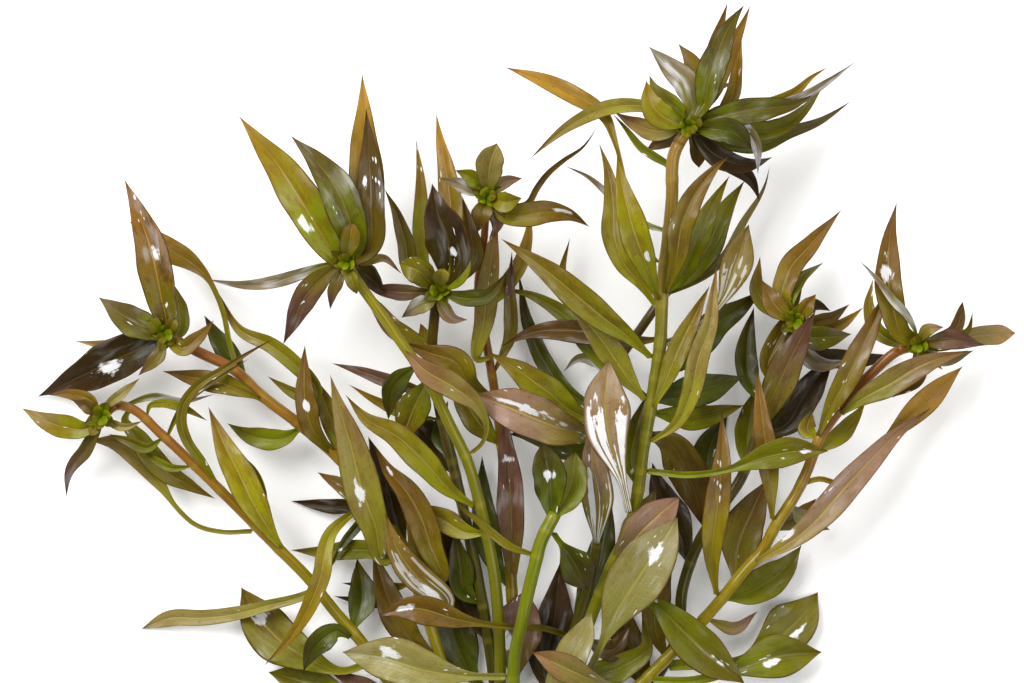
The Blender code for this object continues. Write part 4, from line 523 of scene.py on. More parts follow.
TALL = Stem(
    name="tall",
    route=((690, 125, 24), (675, 152, 23), (672, 200, 22), (668, 240, 21.5), (663, 280, 21), (660, 345, 20),
           (655, 380, 19.5), (650, 410, 19), (643, 450, 18), (638, 490, 16.5), (632, 520, 15),
           (610, 570, 12.5), (590, 620, 10.5), (570, 683, 8), (540, 760, 5.5), (519, 835, 3.7)),
    top_radius=1.1,
    foot_radius=1.08,
    finish=TAN_STEM,
    shoot=(
        Leaf(((703, 106), (709, 80), (718, 52), (730, 25), (745, 4)), 5.2, 29, 24, GREY_OLIVE),
        Leaf(((706, 95), (714, 50), (722, 22), (728, 1)), 3.2, 21, 15, BRONZE),
        Leaf(((710, 98), (727, 60), (740, 30), (751, 4)), 3.2, 22, 16, BRONZE),
        Leaf(((720, 116), (731, 98), (737, 70), (742, 34)), 2.7, 20, 14, AMBER),
        Leaf(((692, 105), (685, 82), (665, 62), (648, 46)), 4.8, 28, 24, SILVER_SHEEN),
        Leaf(((699, 104), (697, 80), (690, 60), (678, 43)), 4.8, 25, 19, BRONZE),
        Leaf(((684, 114), (668, 102), (656, 90), (649, 75)), 3.4, 23, 18, GREEN),
        Leaf(((678, 123), (662, 116), (651, 102), (646, 80)), 5.0, 27, 25, AMBER),
        Leaf(((680, 130), (668, 138), (645, 151)), 3.4, 22, 17, BRONZE),
        Leaf(((713, 118), (740, 112), (770, 108), (795, 104), (813, 95)), 4.8, 26, 18, GREY_OLIVE),
        Leaf(((715, 116), (765, 110), (800, 99), (827, 82), (858, 60)), 2.4, 22, 14, SILVER_SHEEN),
        Leaf(((713, 112), (760, 107), (795, 92), (812, 77), (830, 66)), 2.6, 20, 12, AMBER),
        Leaf(((713, 128), (750, 132), (785, 125), (806, 108), (824, 85)), 3.6, 20, 11, GREEN),
        Leaf(((712, 140), (760, 146), (790, 132), (820, 121), (853, 100)), 2.6, 15, LYING, GREY_OLIVE),
        Leaf(((700, 140), (725, 160), (750, 165), (773, 157)), 4.0, 22, 16, DARK),
        Leaf(((705, 128), (735, 134), (752, 149)), 4.6, 27, 24, DARK_GREEN, OVAL),
        Leaf(((708, 122), (740, 125), (756, 145), (758, 175)), 3.2, 24, 18, SILVER_SHEEN, light_patch=(0.5, 0.0, 0.1, 0.5)),
        Leaf(((712, 150), (738, 168), (752, 182), (760, 202)), 3.8, 15, 9, DARK),
        Leaf(((697, 142), (699, 168)), 3.2, 22, 19, BROWN, OVAL),
        Leaf(((697, 112), (710, 92), (738, 82)), 1.8, 28, 27, PALE),
        Leaf(((672, 117), (640, 106), (612, 107), (590, 114), (567, 127), (547, 143), (529, 160)), 2.8, 19,
             6, TAN),
        Leaf(((680, 130), (655, 131), (635, 124), (614, 112)), 3.6, 21, 16, TAN),
        Leaf(((697, 128), (700, 117)), 2.6, 28, 29, BRIGHT, OVAL),
    ),
    leaves=(
        Leaf(((655, 357), (630, 338), (600, 315), (570, 290), (535, 262), (500, 238)), 5.4, 27, 24, OLIVE),
        Leaf(((643, 400), (622, 370), (605, 345), (585, 320), (565, 300)), 5.0, 21, 20, TAN),
        Leaf(((661, 304), (641, 284), (623, 262), (614, 236), (613, 205), (609, 175), (599, 143)), 4.2, 19,
             14, OLIVE),
        Leaf(((661, 298), (645, 262), (632, 225), (622, 185), (617, 155)), 5.4, 26, 22, GOLDEN,
             light_patch=(0.3, 0.3, 0.04, 0.2)),
        Leaf(((665, 261), (648, 250), (634, 232), (629, 205), (624, 178), (616, 145), (603, 114), (575, 95),
             (540, 79), (504, 67)), 3.4, 18, 6, AMBER, STALKED),
        Leaf(((668, 293), (676, 260), (682, 225), (695, 195), (715, 168), (730, 155)), 4.6, 27, 26, BRONZE),
        Leaf(((653, 408), (666, 380), (680, 345), (695, 315), (710, 285)), 4.0, 22, 22, GOLDEN),
        Leaf(((650, 440), (675, 425), (690, 395), (698, 360), (710, 325), (714, 290), (717, 262)), 4.0, 24,
             24, TAN),
        Leaf(((632, 512), (622, 480), (610, 440), (605, 400), (609, 359)), 8.6, 23, 22, GLINT_STRIPED, SPOON),
        Leaf(((645, 472), (690, 475), (730, 469), (765, 457), (800, 451), (829, 451)), 5.4, 20, 20, GREEN,
             STALKED, light_patch=(0.86, 0.2, 0.03, 0.3)),
        Leaf(((566, 697), (588, 672), (602, 643), (618, 610), (642, 572), (678, 517)), 10.0, 18, 19, MOTTLED,
             PADDLE, light_patch=(0.8, 0.1, 0.05, 0.32)),
        Leaf(((603, 595), (630, 596), (655, 605), (680, 628), (708, 655), (745, 684)), 7.6, 15, 12, GREEN,
             SPOON, light_patch=(0.8, -0.1, 0.06, 0.1)),
        Leaf(((552, 735), (556, 700), (570, 660), (584, 632), (591, 611)), 6.2, 12.5, 13.5, MOTTLED, OVAL,
             light_patch=(0.5, 0.5, 0.12, 0.14)),
    ),
    small_leaves=(
        Leaf(((655, 340), (620, 341), (600, 335), (560, 330), (530, 333), (500, 347)), 4.4, 16, 12, BROWN),
        Leaf(((650, 400), (615, 372), (590, 345), (560, 312), (530, 295), (497, 288)), 3.6, 12, 11, GREEN),
        Leaf(((668, 232), (640, 222), (612, 198), (590, 178), (563, 165)), 1.6, 14, 9, SILVER_SHEEN, STRAP),
        Leaf(((673, 180), (668, 166), (655, 157), (641, 147), (627, 130), (612, 113)), 1.6, 18, 14, GREEN,
             STRAP),
        Leaf(((660, 345), (690, 333), (715, 310), (737, 262), (749, 224)), 5.8, 18, 17, GLINT_STREAKED, STALKED),
        Leaf(((655, 380), (690, 352), (715, 325), (740, 308), (765, 288)), 5.8, 12, 8, DARK_GREEN),
        Leaf(((653, 400), (700, 390), (745, 376)), 6.2, 15, 11, DARK_GREEN),
        Leaf(((652, 412), (700, 417), (745, 405)), 4.6, 12, 8, GREEN),
        Leaf(((645, 435), (665, 440), (690, 480), (705, 530)), 7.2, 8, 4, BROWN),
        Leaf(((637, 490), (631, 462), (636, 430), (646, 395)), 4.2, 14, 13, GREEN),
        Leaf(((615, 560), (635, 530), (657, 488)), 5.4, 14, 13, OLIVE),
        Leaf(((612, 568), (645, 528), (680, 497)), 6.5, 17, 16, PINK, OVAL),
        Leaf(((560, 712), (590, 680), (620, 667), (645, 650), (642, 617)), 5.2, 8, 9.5, GREEN),
        Leaf(((588, 640), (612, 650), (630, 625)), 4.0, 8, 7, BROWN),
    ),
)

BACK = Stem(
    name="back",
    route=((672, 285, 14), (656, 307, 14), (640, 330, 13.5), (620, 358, 13), (612, 372, 12.5),
           (606, 420, 11), (603, 480, 9.5), (598, 540, 7.5), (587, 593, 5.5), (572, 640, 4), (558, 700, 2.6),
           (535, 780, 1.5), (526, 835, 0.91)),
    top_radius=0.8,
    foot_radius=1.05,
    finish=DARK_STEM,
    leaves=(
        Leaf(((590, 437), (560, 428), (515, 410), (475, 394)), 8.0, 22, 20, PINK, OVAL,
             light_patch=(0.56, 0.25, 0.26, 0.16)),
        Leaf(((585, 417), (545, 390), (515, 368), (488, 352)), 5.8, 17, 17, OLIVE),
        Leaf(((600, 545), (598, 500), (592, 460), (590, 425)), 6.1, 14, 15, GLINT_STRIPED),
        Leaf(((565, 634), (548, 629), (510, 627), (460, 620), (410, 608), (379, 615)), 5.4, 13.8, 14, BRONZE,
             STALKED, light_patch=(0.86, 0.1, 0.04, 0.3)),
    ),
    small_leaves=(
        Leaf(((675, 285), (697, 240), (715, 200), (730, 175)), 4.2, 19, 16, GREEN),
        Leaf(((678, 285), (705, 250), (722, 215), (745, 180)), 5.2, 14, 11, GREEN),
        Leaf(((680, 288), (720, 262), (745, 220), (765, 185), (770, 165)), 1.8, 10, 6, PALE, STRAP),
        Leaf(((612, 375), (580, 320), (562, 280), (570, 237)), 2.6, 8, 5, OLIVE),
        Leaf(((606, 415), (558, 382), (530, 330), (518, 270)), 3.2, 7, 5, DARK_GREEN),
        Leaf(((603, 470), (575, 450), (545, 437), (508, 434)), 5.4, 9, 9, DARK_GREEN),
        Leaf(((557, 704), (548, 666), (555, 615), (560, 562)), 7.8, 1.2, 2, DARK),
        Leaf(((574, 636), (591, 590), (604, 545), (612, 500)), 6.0, 3, 3, DARK_GREEN),
        Leaf(((611, 378), (596, 362), (580, 358), (563, 372)), 2.0, 9, 6, SILVER_SHEEN, STRAP),
    ),
)

INNER_RIGHT = Stem(
    name="inner_right",
    route=((795, 322, 14), (787, 350, 13), (775, 390, 11), (757, 435, 10), (740, 480, 9), (715, 515, 8),
           (700, 540, 7), (683, 587, 6), (677, 638, 4.6), (655, 680, 3.2), (610, 742, 2), (540, 835, 0.91)),
    top_radius=0.9,
    foot_radius=1.05,
    finish=DARK_STEM,
    shoot=(
        Leaf(((782, 302), (788, 273), (812, 243), (842, 209)), 4.3, 14, 5, BRONZE, SESSILE),
        Leaf(((790, 306), (798, 282), (824, 262)), 2.4, 15, 9, GREEN),
        Leaf(((794, 305), (797, 280), (801, 256)), 2.2, 11, 6, BRONZE),
        Leaf(((780, 315), (758, 292), (760, 256)), 3.2, 12, 7, AMBER),
        Leaf(((805, 335), (830, 337), (852, 334)), 4.5, 14, 9, GREEN),
        Leaf(((802, 315), (815, 305), (831, 311)), 2.4, 16, 14, DARK),
        Leaf(((808, 322), (830, 318), (850, 304)), 2.4, 12, 8, BROWN),
        Leaf(((810, 330), (840, 325), (864, 307)), 2.4, 10, 5, AMBER),
        Leaf(((805, 350), (850, 360), (903, 355)), 3.6, 7, 2, DARK),
        Leaf(((800, 348), (820, 364), (852, 360)), 3.2, 10, 7, SILVER_SHEEN),
        Leaf(((800, 320), (808, 305), (816, 294)), 3.0, 18, 17, BRONZE),
        Leaf(((785, 325), (775, 305), (762, 280)), 4.0, 17, 14, BRONZE),
    ),
    leaves=(
        Leaf(((758, 432), (768, 408), (785, 370), (800, 340), (816, 310)), 6.1, 17, 19, PURPLE),
    ),
    small_leaves=(
        Leaf(((775, 390), (768, 366), (776, 345), (790, 320), (798, 288)), 4.3, 11, 10, BRONZE,
             light_patch=(0.6, 0.2, 0.05, 0.3)),
        Leaf(((765, 410), (748, 375), (747, 345), (754, 306)), 4.2, 9, 8, DARK_GREEN),
        Leaf(((757, 435), (785, 425), (805, 395), (836, 352)), 6.0, 7, 5, DARK),
        Leaf(((745, 470), (748, 430), (755, 388)), 5.0, 6, 4, GREEN),
        Leaf(((725, 500), (708, 478), (709, 450), (728, 414)), 6.0, 5, 3, DARK_GREEN),
        Leaf(((748, 455), (774, 430), (788, 398), (796, 362)), 4.6, 5, 3, DARK_GREEN),
        Leaf(((668, 660), (655, 628), (660, 588), (674, 545)), 5.0, 4, 5, BRONZE),
        Leaf(((650, 690), (638, 668), (627, 640), (624, 600)), 6.6, 1.6, 2, BROWN),
        Leaf(((692, 565), (678, 530), (663, 500), (652, 462)), 6.4, 2.5, 3, DARK),
    ),
)

RIGHT = Stem(
    name="right",
    route=((918, 345, 17), (900, 350, 17), (870, 375, 16.5), (850, 395, 16), (835, 415, 15.6),
           (820, 437, 15), (807, 471, 14.5), (797, 492, 14), (776, 525, 13), (760, 554, 12),
           (745, 570, 11.5), (725, 595, 10.5), (698, 626, 9), (660, 665, 7.5), (620, 705, 6),
           (570, 775, 4.6), (533, 835, 3.7)),
    top_radius=0.9,
    foot_radius=1.05,
    finish=ORANGE_STEM,
    shoot=(
        Leaf(((903, 335), (893, 308), (888, 270), (890, 235), (897, 201)), 5.0, 22, 13, BRONZE, SESSILE,
             light_patch=(0.55, -0.2, 0.1, 0.4)),
        Leaf(((915, 330), (908, 317), (893, 300), (878, 280), (859, 260)), 1.6, 24, 22, SILVER_SHEEN),
        Leaf(((925, 343), (950, 340), (985, 345)), 3.8, 21, 17, PURPLE),
        Leaf(((930, 346), (970, 337), (1016, 333)), 3.7, 12, LYING, AMBER, SPATULA),
        Leaf(((930, 341), (955, 330), (963, 301)), 2.4, 18, 16, BROWN, OVAL),
        Leaf(((930, 340), (968, 330), (973, 311)), 1.6, 16, 13, OLIVE),
        Leaf(((920, 355), (945, 360), (975, 350)), 2.2, 18, 14, SILVER_SHEEN),
        Leaf(((921, 358), (914, 378), (892, 398)), 3.8, 12, 7, BROWN, SESSILE),
        Leaf(((920, 338), (928, 330), (944, 327)), 2.4, 23, 22, PINK),
        Leaf(((924, 354), (934, 361), (943, 370)), 1.9, 14, 10, AMBER),
        Leaf(((897, 343), (877, 330), (869, 306), (873, 278)), 2.8, 15, 9, AMBER),
    ),
    leaves=(
        Leaf(((776, 522), (770, 485), (765, 440), (760, 400), (757, 368)), 4.0, 17, 14, BRONZE),
        Leaf(((720, 597), (712, 560), (717, 510), (722, 460), (722, 409)), 4.7, 16, 15, BRONZE),
        Leaf(((757, 562), (800, 535), (850, 482), (898, 433), (932, 407)), 5.2, 15, 8, PINK,
             light_patch=(0.18, -0.7, 0.04, 0.3)),
        Leaf(((818, 437), (827, 415), (848, 376), (868, 335), (881, 305), (888, 284)), 4.5, 20, 18, BRONZE),
        Leaf(((838, 410), (862, 399), (890, 384), (920, 366), (970, 350)), 4.8, 21, 22, TAN),
        Leaf(((665, 660), (700, 664), (740, 661), (773, 642), (800, 618), (818, 592)), 9.0, 5, LYING, GREEN,
             STALKED, light_patch=(0.74, 0.35, 0.06, 0.14)),
        Leaf(((650, 676), (690, 681), (735, 670), (775, 657), (822, 652)), 7.9, 8, 3, GREEN, STALKED,
             light_patch=(0.7, 0.15, 0.05, 0.25)),
    ),
    small_leaves=(
        Leaf(((805, 484), (820, 479), (838, 483), (862, 463), (903, 423), (963, 366)), 4.6, 10, 3, HONEY,
             STALKED),
        Leaf(((815, 455), (845, 430), (866, 402)), 3.4, 12, 8, BRIGHT),
        Leaf(((724, 600), (752, 591), (780, 572), (802, 545)), 6.2, 5, 2.5, GREEN),
        Leaf(((705, 620), (735, 628), (758, 611)), 2.4, 6, 3, PINK),
        Leaf(((735, 583), (738, 548), (750, 515), (768, 478)), 7.4, 7, 5, BRONZE),
        Leaf(((820, 440), (808, 430), (812, 411)), 3.4, 13, 11, OLIVE),
        Leaf(((778, 534), (793, 521), (817, 498)), 3.2, 8, 4, BRONZE),
        Leaf(((640, 690), (610, 686), (570, 670), (532, 652)), 5.2, 18, 19, TAN, SPOON),
        Leaf(((790, 505), (805, 520), (830, 530)), 3.6, 8, 3, PALE),
    ),
)

SHORT = Stem(
    name="short",
    route=((555, 513, 20), (540, 544, 19.5), (535, 564, 19), (528, 593, 18), (521, 625, 16.8),
           (515, 654, 14.5), (513, 683, 12.5), (509, 760, 7), (505, 835, 3.7)),
    top_radius=1.15,
    foot_radius=1.08,
    finish=BRIGHT_STEM,
    leaves=(
        Leaf(((511, 677), (470, 676), (425, 670), (385, 658), (342, 652)), 8.4, 16, 11, MOTTLED, SPOON,
             light_patch=(0.72, 0.3, 0.07, 0.25)),
        Leaf(((557, 536), (570, 556), (588, 590)), 6.6, 18, 13, DARK_GREEN, SPOON),
    ),
    small_leaves=(
        Leaf(((555, 513), (550, 482), (542, 443)), 6.0, 22, 22, DARK_GREEN, OVAL, light_patch=(0.55, 0.0, 0.08, 0.3)),
        Leaf(((556, 513), (570, 488), (575, 452)), 6.0, 18, 17, GREEN, OVAL),
        Leaf(((535, 555), (511, 547), (491, 532), (477, 520), (463, 509), (451, 496)), 1.6, 17.6, 14.5,
             BRIGHT, STRAP),
    ),
)
STEMS = (UPPER_LEFT, LOWER_LEFT, LEFT, INNER_LEFT, MIDDLE_STEM, TALL, BACK, INNER_RIGHT, RIGHT, SHORT)


def smooth_route(points: Sequence[Sequence[float]], shares: Array) -> Array:
    """Points of a smooth curve: between two neighbours a cubic, with slopes from the points on both sides.

    Args:
        points: The points that the curve passes, photo column and row first.
        shares: Shares of the curve's length in plan.

    Returns:
        One row for each share.
    """
    spots = np.asarray(points, dtype=float)
    steps = np.linalg.norm(np.diff(spots[:, :2], axis=0), axis=1)
    along = np.concatenate(([0.0], np.cumsum(steps)))
    slopes = np.gradient(spots, along, axis=0)
    at = np.clip(shares * along[-1], 0.0, along[-1])
    piece = np.clip(np.searchsorted(along, at, side="right") - 1, 0, len(steps) - 1)
    length = steps[piece][:, None]
    t = ((at - along[piece]) / steps[piece])[:, None]
    start = (2 * t**3 - 3 * t**2 + 1) * spots[piece] + (t**3 - 2 * t**2 + t) * length * slopes[piece]
    end = (3 * t**2 - 2 * t**3) * spots[piece + 1] + (t**3 - t**2) * length * slopes[piece + 1]
    return start + end


def breadth(form: Form, shares: Array) -> Array:
    """Width of a leaf as a share of its full width.

    It rises from the neck as a power of a sine, and falls to the tip as one less a power.

    Args:
        form: The leaf's outline.
        shares: Shares of the leaf's length.

    Returns:
        A width for each share.
    """
    rise = np.clip((shares - form.stalk) / (form.widest - form.stalk), 0.0, 1.0)
    swell = form.neck + (1.0 - form.neck) * np.sin(0.5 * np.pi * rise) ** form.flare
    fall = np.clip((shares - form.widest) / (1.0 - form.widest), 0.0, 1.0)
    return swell * (1.0 - fall**form.taper) ** TIP_DRAWN_OUT


def bezier_weights(t: Array) -> Array:
    """Weights of the four heights of a leaf (base, two controls, tip) at the given shares of its length."""
    return np.stack(((1 - t) ** 3, 3 * t * (1 - t) ** 2, 3 * t**2 * (1 - t), t**3), axis=-1)


def place(spots: Array) -> Array:
    """World positions of spots: seen from the eye, a higher spot is nearer to the middle of the photograph.

    Args:
        spots: Photo column, photo row and height in millimetres.

    Returns:
        The positions in metres.
    """
    nearer = (EYE_HEIGHT - spots[..., 2:]) / EYE_HEIGHT
    flat = (spots[..., :2] - EYE_SPOT) * (PIXEL, -PIXEL) * nearer - MIDDLE
    return np.concatenate((flat, spots[..., 2:]), axis=-1) * METRE


def unit(vectors: Array) -> Array:
    """The same directions with a length of one."""
    return vectors / np.maximum(np.linalg.norm(vectors, axis=-1, keepdims=True), TINY)


def pair(one: Array, two: Array) -> Array:
    """Two numbers for each corner of a grid, spread over its rows and columns."""
    return np.stack(np.broadcast_arrays(one, two), axis=-1)


def stem_spots(stem: Stem) -> Array:
    """Points close together along a stem, from its top to its foot, where it grows thicker and then stays so.

    Args:
        stem: The stem.

    Returns:
        Photo spots, heights and radii.
    """
    shares = np.linspace(0.0, 1.0, LINE_POINTS)
    radii = stem.top_radius + (stem.foot_radius - stem.top_radius) * np.clip(shares * GIRTH_GAIN, 0.0, 1.0)
    return np.column_stack((smooth_route(stem.route, shares), radii))


def distances(line: Array) -> Array:
    """Distance of each point of a stem line from its top, in millimetres."""
    steps = np.linalg.norm(np.diff(place(line[:, :3]), axis=0), axis=1) / METRE
    return np.concatenate(([0.0], np.cumsum(steps)))


@dataclass
class Rod:
    """A stretch of stem or a growing point, which stays where it is while the leaves settle."""

    line: Array
    owner: int
    twig: int

    def samples(self) -> Array:
        """Samples at the middle and the four sides of each point of the line.

        Returns:
            Rows like a leaf's.
        """
        compass = np.array([(0, 0), (1, 0), (-1, 0), (0, 1), (0, -1)], dtype=float)
        rows = np.zeros((len(self.line), len(compass), SAMPLE_NUMBERS))
        rows[..., :2] = self.line[:, None, :2] + compass * (self.line[:, 3:] / PIXEL)[..., None]
        rows[..., 2] = self.line[:, None, 2]
        rows[..., 7] = self.line[:, None, 3]
        rows[..., 8] = FAR
        return rows.reshape(-1, SAMPLE_NUMBERS)


@dataclass
class Blade:
    """A leaf set on its stem, with the four heights that settling changes.

    line holds spots, heights and radii along its stem, owner is the stem's number, and twig is the number of
    what the leaf is one piece with.
    """

    leaf: Leaf
    line: Array
    owner: int
    twig: int
    kind: Kind

    def __post_init__(self) -> None:
        """Seats the leaf, and works out its whole plan, its heights, its length and the lean of its fold."""
        leaf, plan = self.leaf, np.array(self.leaf.plan, dtype=float)
        root, level, self.socket = self.seat(plan)
        self.plan = np.vstack((root, plan[1:] if np.linalg.norm(plan[0] - root) < NEAR_ROOT else plan))
        bend = 2.0 * leaf.mid - 0.5 * (level + leaf.tip)
        self.heights = np.array([level, (level + 2 * bend) / 3, (2 * bend + leaf.tip) / 3, leaf.tip])
        self.length = np.linalg.norm(np.diff(self.plan, axis=0), axis=1).sum() * PIXEL
        self.lean = FOLD_SWING * np.sin(plan[-1].sum())

    def seat(self, plan: Array) -> tuple[Array, float, Array]:
        """Where the leaf starts: inside what it is one piece with, else a gap away from the stem's surface.

        Args:
            plan: The leaf's spots from its base on.

        Returns:
            The root's photo spot, its height, and the spot and height of the stem's middle beside it.
        """
        line = self.line
        if self.kind is Kind.SHOOT:
            lead = unit(plan[0] - line[0, :2])
            climb = np.clip(BUD_CLIMB * (self.leaf.mid - line[0, 2]), *BUD_SPAN)
            return line[0, :2] + lead * BUD_OFFSET / PIXEL, line[0, 2] + climb, line[0, :3]
        away = np.linalg.norm(line[:, :2] - plan[0], axis=1)
        nearest = int(np.clip(np.argmin(away), HIGHEST_SEAT, len(line) - 2))
        spot = line[nearest]
        lead = unit(plan[1] - spot[:2])
        if self.kind is Kind.SMALL:
            return spot[:2] + lead * ROOT_OFFSET / PIXEL, spot[2], spot[:3]
        run = unit(line[nearest + 1, :2] - line[nearest - 1, :2])
        side = np.array([-run[1], run[0]])
        sideways = lead @ side
        upright = np.sqrt(max(0.0, 1.0 - sideways**2)) * (1.0 if self.leaf.mid >= spot[2] else -1.0)
        reach = spot[3] + GAP + 0.5 * BLADE_THICKNESS
        return spot[:2] + side * sideways * reach / PIXEL, spot[2] + upright * reach, spot[:3]

    def samples(self) -> Array:
        """Samples on a grid of shares of the length and places across, where the halves fold up as a V.

        Returns:
            Rows of plan spot, height over the midline, four weights, half thickness and distance from base.
        """
        shares = np.linspace(0.0, 1.0, int(self.length / PIXEL / SAMPLE_STEP) + 3)
        across = np.linspace(-1.0, 1.0, int(self.leaf.width / PIXEL / SAMPLE_STEP) + 3)
        spine, side = self.spine(shares)
        half = 0.5 * self.leaf.width * breadth(self.leaf.outline.value, shares)
        offset = (half + MARGIN_PAD)[:, None] / PIXEL * across
        lift = FOLD * half[:, None] * (np.abs(across) + self.lean * across)
        rows = np.zeros((*lift.shape, SAMPLE_NUMBERS))
        rows[..., :2] = spine[:, None, :] + side[:, None, :] * offset[..., None]
        rows[..., 2] = lift
        rows[..., 3:7] = bezier_weights(shares)[:, None, :]
        rows[..., 7] = 0.5 * BLADE_THICKNESS
        rows[..., 8] = (shares * self.length)[:, None]
        return rows.reshape(-1, SAMPLE_NUMBERS)

    def spine(self, shares: Array) -> tuple[Array, Array]:
        """The midrib in plan.

        Args:
            shares: Shares of the leaf's length.

        Returns:
            Photo spots, and the direction across the leaf there.
        """
        spots = smooth_route(self.plan, shares)
        run = unit(np.gradient(spots, axis=0))
        return spots, np.stack((-run[:, 1], run[:, 0]), axis=1)


@dataclass
class Heap:
    """The whole bunch as samples of its strands, one for each cell of the plan that a strand covers.

    The strands are the leaves, which move, and the rods, which don't.
    """

    blades: list[Blade]
    rods: list[Rod]

    def __post_init__(self) -> None:
        """Samples the strands and finds where they cross."""
        self.strands = [*self.blades, *self.rods]
        self.heights = np.array([blade.heights for blade in self.blades] + [np.zeros(4)] * len(self.rods))
        tables = [strand.samples() for strand in self.strands]
        strand = np.repeat(np.arange(len(tables)), [len(table) for table in tables])
        table = np.concatenate(tables)
        column, row = np.floor(table[:, :2] / CELL).astype(int).T + CELL_SHIFT
        cell = column * CELL_ROW + row
        _, first, home = np.unique(strand * CELL_ROW**2 + cell, return_index=True, return_inverse=True)
        counts = np.bincount(home)
        merged = np.stack([np.bincount(home, weights=numbers) / counts for numbers in table.T], axis=1)
        self.strand, self.cell = strand[first], cell[first]
        self.weights = merged[:, 3:7]
        self.loft, self.half, self.from_base = merged[:, [2, 7, 8]].T
        self.sway = self.weights[:, 1:].sum(axis=1)
        self.find_contacts()

    def find_contacts(self) -> None:
        """Finds pairs of samples that must keep apart, how far, and which of the two is above."""
        order = np.argsort(self.cell, kind="stable")
        cell = self.cell[order]
        deepest = int(np.bincount(np.unique(cell, return_inverse=True)[1]).max())
        shared = {step: cell[:-step] == cell[step:] for step in range(1, deepest)}
        first = np.concatenate([order[:-step][same] for step, same in shared.items()])
        second = np.concatenate([order[step:][same] for step, same in shared.items()])
        one, two = self.strand[first], self.strand[second]
        twig = np.array([strand.twig for strand in self.strands])
        owner = np.array([strand.owner for strand in self.strands])
        rod = np.arange(len(self.strands)) >= len(self.blades)
        same_twig = twig[one] == twig[two]
        own_rod = (owner[one] == owner[two]) & (rod[one] | rod[two])
        nearer = np.minimum(self.from_base[first], self.from_base[second])
        keep = (one != two) & ~(rod[one] & rod[two])
        keep &= ~(same_twig & (nearer < TWIG_FREE_FROM_BASE)) & ~(own_rod & (nearer < FREE_FROM_BASE))
        self.first, self.second = first[keep], second[keep]
        gap = np.where(same_twig[keep], TWIG_GAP, GAP)
        self.need = self.half[self.first] + self.half[self.second] + gap
        level = self.levels()
        strand_pair = self.strand[self.first] * len(self.strands) + self.strand[self.second]
        _, group = np.unique(strand_pair, return_inverse=True)
        over = np.bincount(group, weights=level[self.first] - level[self.second])
        self.sign = np.where(over >= 0, 1.0, -1.0)[group]

    def levels(self) -> Array:
        """Height of the middle of each sample."""
        return self.loft + (self.weights * self.heights[self.strand]).sum(axis=1)

    def settle(self) -> None:
        """Moves leaves that cross in plan apart in height, and keeps them over the table."""
        moving = self.weights[:, 1:]
        wished = self.heights.copy()
        for _ in range(ROUNDS):
            level = self.levels()
            lack = self.need - self.sign * (level[self.first] - level[self.second])
            short = lack > 0
            a, b, push = self.first[short], self.second[short], self.sign[short] * lack[short]
            share = self.sway[a] / np.maximum(self.sway[a] + self.sway[b], TINY)
            index = np.concatenate((a, b))
            amount = np.concatenate((push * share, -push * (1 - share)))
            pull = moving[index] * (amount / np.maximum(self.sway[index], LEAST_SWAY))[:, None]
            change = np.zeros((len(self.heights), 3))
            total = np.zeros((len(self.heights), 3))
            np.add.at(change, self.strand[index], pull)
            np.add.at(total, self.strand[index], moving[index])
            self.heights[:, 1:] += STEP * change / np.maximum(total, TINY)
            self.heights = np.maximum(self.heights + RESTORE * (wished - self.heights), LYING)
        for blade, settled in zip(self.blades, self.heights):
            blade.heights = settled


@dataclass
class Skin:
    """A closed surface: points in metres, faces of four corners, and maps of two numbers for each corner."""

    points: Array
    faces: Array
    maps: dict[str, Array]
    finish: str


def closed_skin(rings: Array, ends: Array, maps: Mapping[str, tuple[Array, Array]], finish: str) -> Skin:
    """A surface carried along rings, closed at both ends with a point.

    Each ring is joined to the next corner by corner. A face at an end has two of its corners in one point.

    Args:
        rings: Points as rows by corners by three, in metres, each ring running clockwise seen along the rows.
        ends: The two end points, in metres.
        maps: For each map the numbers of the rings (rows by corners + 1 by two) and of the ends (two by two).
        finish: Name of the finish.

    Returns:
        The surface.
    """
    rows, sides = rings.shape[:2]
    points = np.concatenate((ends[:1], rings.reshape(-1, 3), ends[1:]))
    corner = np.arange(sides)
    after = (corner + 1) % sides
    start = 1 + np.arange(rows - 1)[:, None] * sides
    body = np.stack((start + corner, start + after, start + sides + after, start + sides + corner), axis=2)
    foot, top = np.zeros_like(corner), np.full_like(corner, len(points) - 1)
    last_row = top - sides
    first = np.stack((foot, foot, 1 + after, 1 + corner), axis=1)
    last = np.stack((last_row + corner, last_row + after, top, top), axis=1)
    corner_maps = {}
    for name, (grid, tips) in maps.items():
        this, that = grid[:, :-1], grid[:, 1:]
        base, tip = (np.broadcast_to(end, this[0].shape) for end in tips)
        middle = np.stack((this[:-1], that[:-1], that[1:], this[1:]), axis=2).reshape(-1, 4, 2)
        opening = np.stack((base, base, that[0], this[0]), axis=1)
        closing = np.stack((this[-1], that[-1], tip, tip), axis=1)
        corner_maps[name] = np.concatenate((opening, middle, closing))
    return Skin(points, np.concatenate((first, body.reshape(-1, 4), last)), corner_maps, finish)


